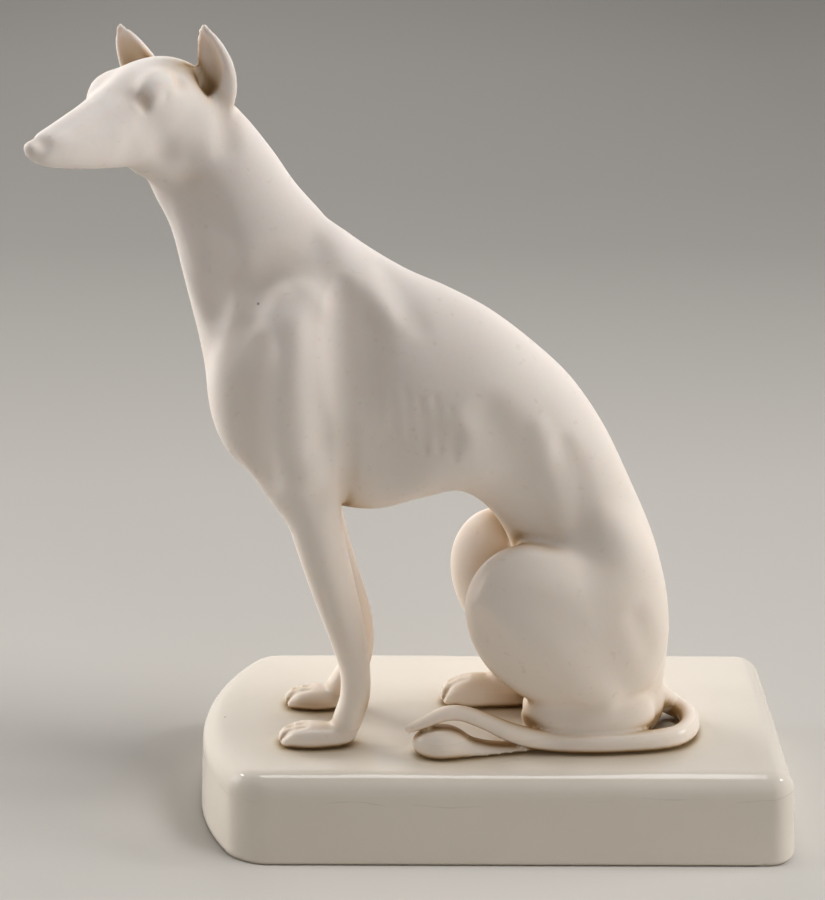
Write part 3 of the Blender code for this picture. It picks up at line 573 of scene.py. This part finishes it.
def add_paw(clay, tip, heading, length, width, height):
    """A foot with its fused toes, lying from the tip back along its heading."""
    forward = unit((*heading, 0.0))
    left = np.cross((0.0, 0.0, 1.0), forward)

    def place(back, aside, rise):
        return np.array([*tip, rise]) - forward * back + left * aside

    foot = (0.5 * length, 0.95 * width, 0.60 * height)
    ball = (1.5 * width, 0.98 * width, 0.58 * height)
    clay.add(Lump(place(0.52 * length, 0.0, 0.40 * height), foot, forward, left), 1.0)
    clay.add(Lump(place(1.5 * width, 0.0, 0.36 * height), ball, forward, left), 0.8)
    for toe in (-1.5, -0.5, 0.5, 1.5):
        shy = 0.45 + 0.16 * width * (abs(toe) - 0.5)
        root = (*place(shy + 3.6, 0.34 * width * toe, 0.50 * height), 0.30 * width)
        knuckle = (*place(shy + 1.6, 0.40 * width * toe, 0.46 * height), 0.33 * width)
        end = (*place(shy + 0.25, 0.38 * width * toe, 0.22 * height), 0.25 * width)
        nail = (*place(shy - 0.15, 0.38 * width * toe, 0.18 * height), 0.13 * width)
        clay.add(Rod([root, knuckle, end], steps=3), 0.7)
        clay.add(Rod([end, nail], steps=2), 0.2)
    for gap in (-1.0, 0.0, 1.0):
        clay.swell(-0.42, [(*place(0.5, 0.40 * width * gap, 0.25 * height), 0.34),
                           (*place(1.5, 0.42 * width * gap, 0.78 * height), 0.36),
                           (*place(3.8, 0.34 * width * gap, 0.98 * height), 0.30)])


def add_paws(clay):
    add_paw(clay, (-33.6, -6.3), (-1.0, 0.02), 10.6, 2.5, 3.1)            # near fore
    add_paw(clay, (-33.4, 5.6), (-1.0, 0.06), 9.6, 2.5, 3.1)              # far fore
    clay.add(Lump((-10.9, -9.4, 1.7), (3.9, 2.6, 2.7)), 1.0)              # near hind
    clay.add(Rod(NEAR_HIND_FOOT), 1.2)
    add_paw(clay, (-10.6, 6.4), (-1.0, 0.0), 15.0, 2.8, 4.6)              # far hind


def shape_neck_and_shoulders(clay):
    # furrow down the side of the neck, and the cord in front of it
    clay.swell_both(-0.9, (-43.4, 4.2, 80.5, 1.8), (-42.2, 4.6, 77.6, 2.4), (-41.2, 4.8, 72.0, 3.0),
                    (-40.8, 4.8, 66.5, 2.7), (-40.8, 5.0, 63.4, 1.7))
    clay.swell_both(0.26, (-45.2, 3.6, 77.5, 1.1), (-44.0, 3.8, 73.5, 1.4), (-43.2, 4.2, 69.0, 1.2))
    # cords from the neck into the breast
    clay.swell_both(0.20, (-38.0, 6.0, 63.8, 1.8), (-39.7, 5.8, 61.2, 2.3), (-41.6, 5.0, 58.8, 2.0))
    clay.swell_both(0.32, (-32.4, 7.1, 66.2, 1.5), (-34.4, 7.6, 63.2, 1.9), (-35.2, 8.0, 60.0, 2.1),
                    (-35.8, 8.4, 57.0, 2.1))
    # between the neck and the shoulder blade
    clay.swell_both(-0.7, (-26.2, 2.8, 74.0, 2.0), (-29.0, 4.6, 72.2, 2.5), (-32.0, 5.8, 70.2, 2.7),
                    (-35.6, 6.2, 67.0, 2.2))
    # triceps, the step behind it and the hollow behind the shoulder
    clay.swell_both(0.90, (-31.4, 8.4, 62.0, 2.8), (-31.6, 9.4, 55.0, 3.4), (-31.0, 9.4, 47.0, 3.2),
                    (-29.4, 8.8, 42.0, 2.2))
    clay.swell_both(-0.55, (-26.9, 8.0, 62.0, 2.0), (-26.4, 9.0, 54.0, 2.4), (-26.0, 8.8, 46.0, 2.2))
    clay.swell_both(-1.0, (-23.9, 6.4, 67.2, 1.2), (-24.2, 7.6, 62.0, 1.7), (-23.8, 8.6, 56.0, 1.8),
                    (-23.4, 9.0, 50.5, 1.4), (-23.3, 8.6, 45.0, 1.2), (-23.2, 7.6, 40.0, 1.0))
    clay.swell_both(-1.0, (-22.8, 6.8, 64.5, 2.2), (-22.2, 7.8, 60.0, 3.2), (-21.8, 8.6, 53.0, 2.8))
    clay.swell_both(-0.6, (-21.6, 7.4, 61.0, 3.2), (-20.4, 8.6, 54.0, 4.2), (-18.6, 8.6, 46.5, 4.2),
                    (-17.0, 8.4, 41.0, 3.0))
    # edge of the back muscle
    clay.swell_both(0.46, (-25.8, 2.2, 73.0, 1.6), (-23.0, 3.8, 69.6, 2.4), (-20.6, 5.0, 66.6, 2.6),
                    (-18.4, 6.0, 63.4, 1.9))
    clay.swell_both(-0.25, (-18.4, 2.8, 68.8, 1.4), (-16.0, 4.8, 65.4, 1.9), (-13.8, 6.2, 61.8, 1.4))
    # between the breast and the triceps
    clay.swell_both(-0.7, (-34.4, 9.0, 59.5, 1.5), (-35.4, 9.2, 54.0, 2.2), (-35.8, 9.0, 47.5, 2.5),
                    (-34.6, 8.4, 41.0, 1.9))
    clay.swell_both(0.25, (-26.3, 8.9, 44.0, 1.6))       # elbow
    clay.swell_both(-0.25, (-29.3, 8.6, 41.5, 1.4), (-27.8, 8.6, 38.0, 1.5))


def shape_flanks(clay):
    for rib in range(7):
        x = -21.4 + 2.02 * rib
        low = 48.2 - 0.62 * rib + 0.9 * (rib % 2)
        clay.swell_both(-0.24 + 0.018 * rib, (x - 0.5, 8.3, low + 6.4, 0.5), (x, 8.6, low + 3.4, 0.95),
                        (x + 0.1, 8.6, low + 1.4, 0.85), (x + 0.2, 8.6, low - 1.0, 0.4))
    clay.swell_both(-0.3, (-12.6, 8.6, 47.8, 1.9), (-9.6, 8.6, 46.6, 1.6))
    # cord from the loin to the thigh, the groove behind it and the broad hollow before it
    clay.swell_both(0.22, (2.2, 7.2, 48.0, 1.2), (3.4, 7.3, 43.5, 2.2), (4.6, 7.2, 38.5, 2.3),
                    (5.4, 7.2, 33.5, 1.5))
    clay.swell_both(-0.42, (5.6, 7.0, 45.0, 1.4), (6.9, 7.0, 39.4, 2.5), (8.0, 7.0, 33.0, 1.8))
    clay.swell_both(-0.6, (-4.6, 8.0, 49.5, 2.6), (-2.6, 7.4, 45.6, 3.2), (-0.2, 6.6, 40.0, 3.4),
                    (2.0, 6.0, 35.5, 2.8), (4.2, 6.4, 32.0, 2.0))
    # crests of the thigh, and the plane below them
    clay.swell_both(-0.6, (-6.0, 10.6, 20.0, 2.0), (-2.6, 11.2, 15.8, 3.0), (2.2, 11.0, 10.6, 3.2),
                    (7.0, 9.8, 6.2, 2.2))
    clay.swell_both(0.5, (-5.0, 10.0, 23.5, 2.4), (-1.5, 11.4, 20.5, 3.4), (3.6, 11.8, 15.5, 3.8),
                    (8.6, 10.9, 11.0, 3.2), (12.5, 9.5, 8.0, 2.0))
    clay.swell_both(-0.7, (-2.0, 10.0, 31.0, 2.8), (3.0, 9.5, 31.6, 3.8), (8.4, 9.0, 31.0, 3.8))
    clay.swell_both(-0.25, (16.0, 9.8, 21.0, 1.6), (17.7, 9.4, 16.8, 1.6))


def dog_distance(points):
    """Distance from many points to the greyhound's surface, less than nought inside it."""
    clay = Clay(points)
    clay.add(Loft(TRUNK), 1.0)
    add_shoulders(clay)
    for leg in (NEAR_FORELEG, FAR_FORELEG):
        clay.add(Rod(leg, flat=0.92), 2.0)
    add_hindquarters(clay)
    shape_neck_and_shoulders(clay)
    shape_flanks(clay)
    add_paws(clay)
    clay.add(Rod(TAIL), 0.6)
    add_head(clay)
    sole = 100.0 * JOINT_GAP / DOG_HEIGHT
    return np.maximum(clay.distance, sole - points[:, 2])


def fill_pinches(values):
    """Fill grid corners wherever two parts of the surface would touch along an edge."""
    filled = True
    while filled:
        filled = False
        for axis in range(3):
            face = np.moveaxis(values, axis, 0)
            quarters = [face[:, :-1, :-1], face[:, 1:, 1:], face[:, :-1, 1:], face[:, 1:, :-1]]
            inside = [quarter < 0 for quarter in quarters]
            pinch = (inside[0] == inside[1]) & (inside[2] == inside[3]) & (inside[0] != inside[2])
            if pinch.any():
                filled = True
                for quarter, solid in zip(quarters, inside):
                    quarter[pinch & ~solid] = -1e-3


def crossing_mesh(values, low, cell):
    """One vertex in each cell that the surface crosses, one face for each crossed edge of the grid."""
    inside = values < 0
    strides = np.array([values.shape[1] * values.shape[2], values.shape[2], 1])
    numbers = np.arange(values.size).reshape(values.shape)
    total = np.zeros((3, values.size))
    count = np.zeros(values.size)
    faces = []
    for axis in range(3):
        here = tuple(slice(0, -1) if other == axis else slice(None) for other in range(3))
        there = tuple(slice(1, None) if other == axis else slice(None) for other in range(3))
        crossed = inside[here] != inside[there]
        start = values[here][crossed]
        end = values[there][crossed]
        spot = low + np.argwhere(crossed) * cell
        spot[:, axis] += cell * start / (start - end)
        first, second = [other for other in range(3) if other != axis]
        corners = []
        for step_first, step_second in ((0, 0), (1, 0), (1, 1), (0, 1)):
            corner = numbers[here][crossed] - step_first * strides[first] - step_second * strides[second]
            corners.append(corner)
            count += np.bincount(corner, minlength=values.size)
            for other in range(3):
                total[other] += np.bincount(corner, weights=spot[:, other], minlength=values.size)
        face = np.stack(corners, 1)
        backward = (start < 0) == (axis == 1)
        face[backward] = face[backward][:, ::-1]
        faces.append(face)
    used = np.flatnonzero(count)
    lookup = np.zeros(values.size, int)
    lookup[used] = np.arange(len(used))
    return (total[:, used] / count[used]).T, lookup[np.vstack(faces)]


def settle(vertices, distance, cell):
    """Move the vertices onto the surface that they lie next to."""
    probe = 0.1 * cell
    for _ in range(2):
        value = distance(vertices)
        slope = np.empty_like(vertices)
        for axis in range(3):
            shift = probe * np.eye(3)[axis]
            slope[:, axis] = (distance(vertices + shift) - value) / probe
        steepness = np.maximum((slope * slope).sum(1), 0.25)
        move = np.clip(-value / steepness, -0.35 * cell, 0.35 * cell)
        vertices = vertices + slope * move[:, None]
    return vertices


def field_surface(distance, low, high, cell, coarse=3):
    """Polygonise a distance: coarsely everywhere, then finely next to the surface."""
    low = np.asarray(low, float)
    counts = np.ceil((np.asarray(high) - low) / (cell * coarse)).astype(int) + 1
    axes = [low[axis] + cell * coarse * np.arange(counts[axis]) for axis in range(3)]
    grid = np.stack(np.meshgrid(*axes, indexing="ij"), 3)
    values = distance(grid.reshape(-1, 3)).reshape(counts)
    for axis in range(3):
        values = np.repeat(values, coarse, axis=axis)
    values = values[coarse // 2:, coarse // 2:, coarse // 2:].copy()
    close = np.abs(values) < 1.9 * cell * coarse
    values[close] = distance(low + np.argwhere(close) * cell)
    fill_pinches(values)
    vertices, faces = crossing_mesh(values, low, cell)
    return settle(vertices, distance, cell), faces


def stored_values(mesh, name, values):
    attribute = mesh.attributes.new(name, "FLOAT", "POINT")
    attribute.data.foreach_set("value", np.asarray(values, np.float32))


MOST_OPEN = 1.2
SLAB_REACH = 1.2
# how far off the surface to look for the rest of the dog, and how much that counts
OPEN_REACHES = ((1.4, 1.0), (3.0, 1.0), (6.0, 0.75))


def openness(vertices):
    """How open the surface is round each vertex: 1 on a crown, less in a crease or at the slab."""
    probe = 0.05
    slope = np.empty_like(vertices)
    value = dog_distance(vertices)
    for axis in range(3):
        slope[:, axis] = dog_distance(vertices + probe * np.eye(3)[axis]) - value
    normal = slope / (np.linalg.norm(slope, axis=1)[:, None] + 1e-9)
    least = np.minimum(MOST_OPEN, (vertices + SLAB_REACH * normal)[:, 2] / SLAB_REACH)
    for reach, weight in OPEN_REACHES:
        share = dog_distance(vertices + reach * normal) / reach
        least = np.minimum(least, 1.0 + weight * (share - 1.0))
    return np.clip(least, 0.0, MOST_OPEN)


def glazed_share(vertices):
    """1 where the glaze ran over the feet, the tail and the seat, 0 where the body is bare."""
    glaze_top, glaze_fade = 6.0, 4.0
    knee_x, knee_z, knee_spread, knee_share = -5.0, 24.0, 70.0, 0.8
    left_flank = -6.0
    x, y, z = vertices.T
    low = np.clip((glaze_top - z) / glaze_fade, 0.0, 1.0)
    knee = np.exp(-((x - knee_x) ** 2 + (z - knee_z) ** 2) / knee_spread) * (y < left_flank)
    return np.clip(np.maximum(low, knee_share * knee), 0.0, 1.0)


def new_mesh(name, vertices, faces, replaced):
    """A mesh in metres, held inside the box of the plain solid that it replaces."""
    corner = np.array((DOG_SHIFT, -DOG_SETBACK, slab_top))
    low, high = (np.array(end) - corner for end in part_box(replaced))
    places = np.clip(vertices * DOG_HEIGHT / 100.0, low, high)
    mesh = bpy.data.meshes.new(name)
    mesh.from_pydata(places.tolist(), [], faces.tolist())
    mesh.shade_smooth()
    return mesh


def new_piece(name, mesh, material, replaced):
    mesh.materials.append(material)
    piece = bpy.data.objects.new(name, mesh)
    piece.location = (DOG_SHIFT, -DOG_SETBACK, slab_top)
    bpy.context.scene.collection.objects.link(piece)
    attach(piece, "root")
    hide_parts(replaced)
    return piece


class Shading:
    """Adds nodes to a material or a group and joins them."""

    def __init__(self, tree):
        self.nodes = tree.nodes
        self.links = tree.links

    def add(self, kind, settings=(), inputs=()):
        node = self.nodes.new(kind)
        for name, value in dict(settings).items():
            setattr(node, name, value)
        for name, value in dict(inputs).items():
            if isinstance(value, bpy.types.NodeSocket):
                self.links.new(value, node.inputs[name])
            else:
                node.inputs[name].default_value = value
        return node

    def maths(self, operation, first, second=0.0):
        node = self.add("ShaderNodeMath", {"operation": operation}, {0: first, 1: second})
        return node.outputs[0]

    def noise(self, vector, scale, detail):
        node = self.add("ShaderNodeTexNoise", {}, {"Vector": vector, "Scale": scale, "Detail": detail})
        return node.outputs["Fac"]

    def sway(self, vector, scale, detail, reach):
        """Noise that goes as far below nought as above it."""
        centred = self.maths("SUBTRACT", self.noise(vector, scale, detail), 0.5)
        return self.maths("MULTIPLY", centred, reach)

    def spread(self, value, low, high):
        node = self.add("ShaderNodeMapRange", {}, {"Value": value, "From Min": low, "From Max": high})
        return node.outputs["Result"]

    def blend(self, share, first, second, kind="MIX"):
        node = self.add("ShaderNodeMix", {"data_type": "RGBA", "blend_type": kind},
                        {0: share, 6: first, 7: second})
        return node.outputs[2]

    def ramp(self, value, stops):
        node = self.add("ShaderNodeValToRGB", {}, {"Fac": value})
        elements = node.color_ramp.elements
        for element, (position, colour) in zip(elements, (stops[0], stops[-1])):
            element.position = position
            element.color = (*colour, 1.0)
        for position, colour in stops[1:-1]:
            elements.new(position).color = (*colour, 1.0)
        return node.outputs["Color"]


def kiln_marks_group():
    """Colour with cloudy depth, fine specks and a few round pinholes; and the height of the skin."""
    group = bpy.data.node_groups.new("kiln marks", "ShaderNodeTree")
    face = group.interface
    face.new_socket("Colour", in_out="INPUT", socket_type="NodeSocketColor")
    face.new_socket("Speck Share", in_out="INPUT", socket_type="NodeSocketFloat")
    face.new_socket("Grain Scale", in_out="INPUT", socket_type="NodeSocketFloat")
    face.new_socket("Pinhole Share", in_out="INPUT", socket_type="NodeSocketFloat")
    face.new_socket("Colour", in_out="OUTPUT", socket_type="NodeSocketColor")
    face.new_socket("Height", in_out="OUTPUT", socket_type="NodeSocketFloat")
    draw = Shading(group)
    inputs = draw.add("NodeGroupInput").outputs
    place = draw.add("ShaderNodeTexCoord").outputs["Object"]
    cloud = draw.blend(draw.noise(place, 42.0, 3.0), (0.955, 0.945, 0.93, 1.0), (1.03, 1.03, 1.03, 1.0))
    clouded = draw.blend(1.0, inputs["Colour"], cloud, "MULTIPLY")
    fleck = draw.spread(draw.noise(place, 520.0, 3.0), 0.64, 0.84)
    fleck = draw.maths("MULTIPLY", fleck, inputs["Speck Share"])
    flecked = draw.blend(fleck, clouded, (0.60, 0.50, 0.40, 1.0))
    # a pinhole in the middle of a few of the cells, which are chosen by their random colour
    cells = draw.add("ShaderNodeTexVoronoi", {}, {"Vector": place, "Scale": 95.0})
    lot = draw.add("ShaderNodeSeparateColor", {}, {"Color": cells.outputs["Color"]})
    chosen = draw.maths("GREATER_THAN", lot.outputs[0], 0.93)
    hole = draw.maths("MULTIPLY", draw.spread(cells.outputs["Distance"], 0.034, 0.018), chosen)
    hole = draw.maths("MULTIPLY", hole, inputs["Pinhole Share"])
    pitted = draw.blend(hole, flecked, (0.20, 0.15, 0.10, 1.0))
    grain = draw.noise(place, inputs["Grain Scale"], 3.0)
    height = draw.maths("SUBTRACT", grain, draw.maths("MULTIPLY", hole, 2.0))
    outputs = draw.add("NodeGroupOutput").inputs
    draw.links.new(pitted, outputs["Colour"])
    draw.links.new(height, outputs["Height"])
    return group


vertices, faces = field_surface(dog_distance, DOG_LOW, DOG_HIGH, CELL)
dog_mesh = new_mesh("greyhound cast", vertices, faces, "greyhound")
# the openness sets the painted shade in creases and where the skin meets the slab
stored_values(dog_mesh, "open", openness(vertices))
stored_values(dog_mesh, "glazed", glazed_share(vertices))

kiln_marks = kiln_marks_group()
biscuit = bpy.data.materials.new("ivory biscuit")
biscuit.use_nodes = True
draw = Shading(biscuit.node_tree)
shader = biscuit.node_tree.nodes["Principled BSDF"]
shader.inputs["Subsurface Weight"].default_value = 0.22
shader.inputs["Subsurface Radius"].default_value = (1.0, 0.62, 0.40)
shader.inputs["Subsurface Scale"].default_value = 0.0018
place = draw.add("ShaderNodeTexCoord").outputs["Object"]
opening = draw.add("ShaderNodeAttribute", {"attribute_name": "open"}).outputs["Fac"]
glazing = draw.add("ShaderNodeAttribute", {"attribute_name": "glazed"}).outputs["Fac"]
uneven = draw.sway(place, 70.0, 3.0, 0.22)
# painted shade: from the brown of the deepest creases to the ivory of open skin
painted_crease_shade = draw.ramp(draw.maths("ADD", opening, uneven), (
    (0.05, (0.33, 0.20, 0.09)), (0.26, (0.57, 0.43, 0.29)), (0.50, (0.74, 0.63, 0.53)),
    (0.78, (0.82, 0.74, 0.68)), (1.0, (0.84, 0.77, 0.72))))
height = draw.add("ShaderNodeSeparateXYZ", {}, {"Vector": place}).outputs["Z"]
cream = draw.blend(draw.spread(height, 0.105, 0.010), (1.0, 1.0, 1.0, 1.0), (0.99, 0.955, 0.885, 1.0))
body_colour = draw.blend(1.0, painted_crease_shade, cream, "MULTIPLY")
marks = draw.add("ShaderNodeGroup", {"node_tree": kiln_marks}, {
    "Colour": body_colour, "Speck Share": 0.5, "Grain Scale": 900.0, "Pinhole Share": 0.8})
draw.links.new(marks.outputs["Colour"], shader.inputs["Base Color"])
rough = draw.maths("SUBTRACT", 0.56, draw.maths("MULTIPLY", glazing, 0.34))
draw.links.new(rough, shader.inputs["Roughness"])
draw.links.new(draw.maths("MULTIPLY", glazing, 0.5), shader.inputs["Coat Weight"])
shader.inputs["Coat Roughness"].default_value = 0.12
bump = draw.add("ShaderNodeBump", {}, {
    "Strength": 0.30, "Distance": 0.00006, "Height": marks.outputs["Height"]})
draw.links.new(bump.outputs["Normal"], shader.inputs["Normal"])
new_piece("greyhound_cast", dog_mesh, biscuit, "greyhound")

# The slab.
# A hollow block of the same porcelain under a clear ivory glaze that rounds its edges, gathers round the
# feet and the tail, darker there with painted contact shade, and left a thin dry line where it stood in
# the kiln, darkened as a painted shadow line.
SLAB_HEIGHT = 0.0204
SLAB_DEPTH = 0.0642
SLAB_SIDE = 0.1172        # length of the long sides
SLAB_BOW = 0.0110         # how far the end at the breast bows out past them
SLAB_DRAFT = 0.0011       # how far the sides lean in towards the top
SLAB_EDGE = 0.0042        # rounding of the top edge
SLAB_FOOT = 0.0006        # rounding of the bottom edge
SQUARE_CORNER = 0.0052    # rounding of the upright corners at the rump
BOW_CORNER = 0.0048       # and at the breast
BROW = 0.0090             # width of the strip round the top that falls away
BROW_FALL = 0.0007
DISH = 0.0002             # how far the middle of the top has sunk
WAVE = 0.00010            # slow unevenness of the top
WARP = 0.0009             # how far the end at the rump has lifted in the kiln
WARP_LENGTH = 0.012
GATHER = 0.42             # glaze gathered against the dog, and its reach, in the dog's units
GATHER_REACH = 0.9
POOL_AND_SHADE_REACH = 1.1          # how far from the dog the glaze looks deep and the painted contact shade reaches, in the same units
SLAB_CELL = 0.55


def rounded_corner(first, second, radius):
    """Where two outer sides meet, with a rounded edge."""
    over_first = np.maximum(first + radius, 0.0)
    over_second = np.maximum(second + radius, 0.0)
    inner = np.minimum(np.maximum(first, second) + radius, 0.0)
    return np.hypot(over_first, over_second) + inner - radius


def slab_distance(points):
    """Distance to the slab's surface, in the same places and units as the dog's."""
    unit_length = DOG_HEIGHT / 100.0
    x = points[:, 0] * unit_length + DOG_SHIFT
    y = points[:, 1] * unit_length - DOG_SETBACK
    z = points[:, 2] * unit_length + SLAB_HEIGHT
    half = SLAB_DEPTH / 2
    square_end = (SLAB_SIDE + SLAB_BOW) / 2
    bow_radius = (half ** 2 + SLAB_BOW ** 2) / (2 * SLAB_BOW)
    lean = SLAB_DRAFT * np.clip(z / SLAB_HEIGHT, 0.0, 1.0)
    side = np.abs(y) - half + lean
    ahead = x - square_end + lean
    bowed = np.hypot(x - bow_radius + square_end, y) - bow_radius + lean
    square = rounded_corner(side, ahead, SQUARE_CORNER)
    round_end = rounded_corner(side, bowed, BOW_CORNER)
    plan = np.where(x > 0.0, square, round_end)
    inward = np.clip(1.0 + plan / BROW, 0.0, 1.0)
    wave = WAVE * np.sin(95.0 * x + 1.0) * np.sin(120.0 * y + 0.5)
    level = SLAB_HEIGHT - BROW_FALL * inward ** 2 - DISH * (1.0 - inward) ** 2 + wave
    body = rounded_corner(plan, z - level, SLAB_EDGE)
    lift = WARP * np.clip((x - square_end + WARP_LENGTH) / WARP_LENGTH, 0.0, 1.0) ** 2
    body = rounded_corner(body, lift - z, SLAB_FOOT)
    to_dog = np.full(len(points), 4.0)
    close = points[:, 2] > -3.0
    to_dog[close] = dog_distance(points[close])
    gather = GATHER * np.exp(-(np.maximum(to_dog, 0.0) / GATHER_REACH) ** 2)
    return body / unit_length - gather


slab_reach = (SLAB_SIDE + SLAB_BOW) / 2 * 100.0 / DOG_HEIGHT + 1.5
slab_middle = DOG_SHIFT * 100.0 / DOG_HEIGHT
low = (-slab_reach - slab_middle, -20.0, -SLAB_HEIGHT * 100.0 / DOG_HEIGHT - 1.0)
high = (slab_reach - slab_middle, 28.0, 2.0)
slab_vertices, slab_faces = field_surface(slab_distance, low, high, SLAB_CELL)
slab_mesh = new_mesh("slab", slab_vertices, slab_faces, "plinth")
# closeness to the dog, which darkens the glaze with pooling and painted contact shade
to_dog = np.maximum(dog_distance(slab_vertices), 0.0)
stored_values(slab_mesh, "pooled_and_shaded", np.exp(-to_dog / POOL_AND_SHADE_REACH))

glaze = bpy.data.materials.new("clear glaze")
glaze.use_nodes = True
draw = Shading(glaze.node_tree)
shader = glaze.node_tree.nodes["Principled BSDF"]
place = draw.add("ShaderNodeTexCoord").outputs["Object"]
pooled_and_shaded = draw.add("ShaderNodeAttribute", {"attribute_name": "pooled_and_shaded"}).outputs["Fac"]
uneven = draw.sway(place, 60.0, 3.0, 0.2)
# from thin glaze to the deepest pools, darkened next to the dog as painted contact shade
pool_and_contact_shade_tint = draw.ramp(draw.maths("ADD", pooled_and_shaded, uneven), (
    (0.0, (0.72, 0.655, 0.57)), (0.40, (0.68, 0.60, 0.49)), (0.75, (0.56, 0.45, 0.31)),
    (1.0, (0.40, 0.29, 0.16))))
# hairlines where the glaze slid on the upright sides
hairline_depth = 0.0055
hairline_slope = -0.022
hairline_sway = 0.012
across = draw.add("ShaderNodeSeparateXYZ", {}, {"Vector": place})
sway = draw.sway(place, 26.0, 4.0, hairline_sway)
slope = draw.maths("MULTIPLY", across.outputs["X"], hairline_slope)
level = draw.maths("ADD", across.outputs["Z"], hairline_depth)
line = draw.maths("ADD", level, draw.maths("ADD", sway, slope))
hairline = draw.spread(draw.maths("ABSOLUTE", line), 0.00022, 0.00004)
patchy = draw.spread(draw.noise(place, 75.0, 2.0), 0.47, 0.60)
hairline = draw.maths("MULTIPLY", hairline, draw.maths("MULTIPLY", patchy, 0.30))
lined = draw.blend(hairline, pool_and_contact_shade_tint, (0.40, 0.36, 0.31, 1.0))
# the dry rim of the foot, rougher, and darkened as a painted shadow line where the slab meets the table,
# from where it starts down to where it is quite dry
dry_start, dry_full = 0.0009, 0.0004
dry = draw.spread(across.outputs["Z"], -SLAB_HEIGHT + dry_start, -SLAB_HEIGHT + dry_full)
foot_with_painted_shadow = draw.blend(draw.maths("MULTIPLY", dry, 0.7), lined, (0.42, 0.36, 0.27, 1.0))
marks = draw.add("ShaderNodeGroup", {"node_tree": kiln_marks}, {
    "Colour": foot_with_painted_shadow, "Speck Share": 0.12, "Grain Scale": 110.0, "Pinhole Share": 0.5})
draw.links.new(marks.outputs["Colour"], shader.inputs["Base Color"])
draw.links.new(draw.maths("ADD", 0.09, draw.maths("MULTIPLY", dry, 0.5)), shader.inputs["Roughness"])
bump = draw.add("ShaderNodeBump", {}, {
    "Strength": 0.25, "Distance": 0.0004, "Height": marks.outputs["Height"]})
draw.links.new(bump.outputs["Normal"], shader.inputs["Normal"])
new_piece("slab_cast", slab_mesh, glaze, "plinth")
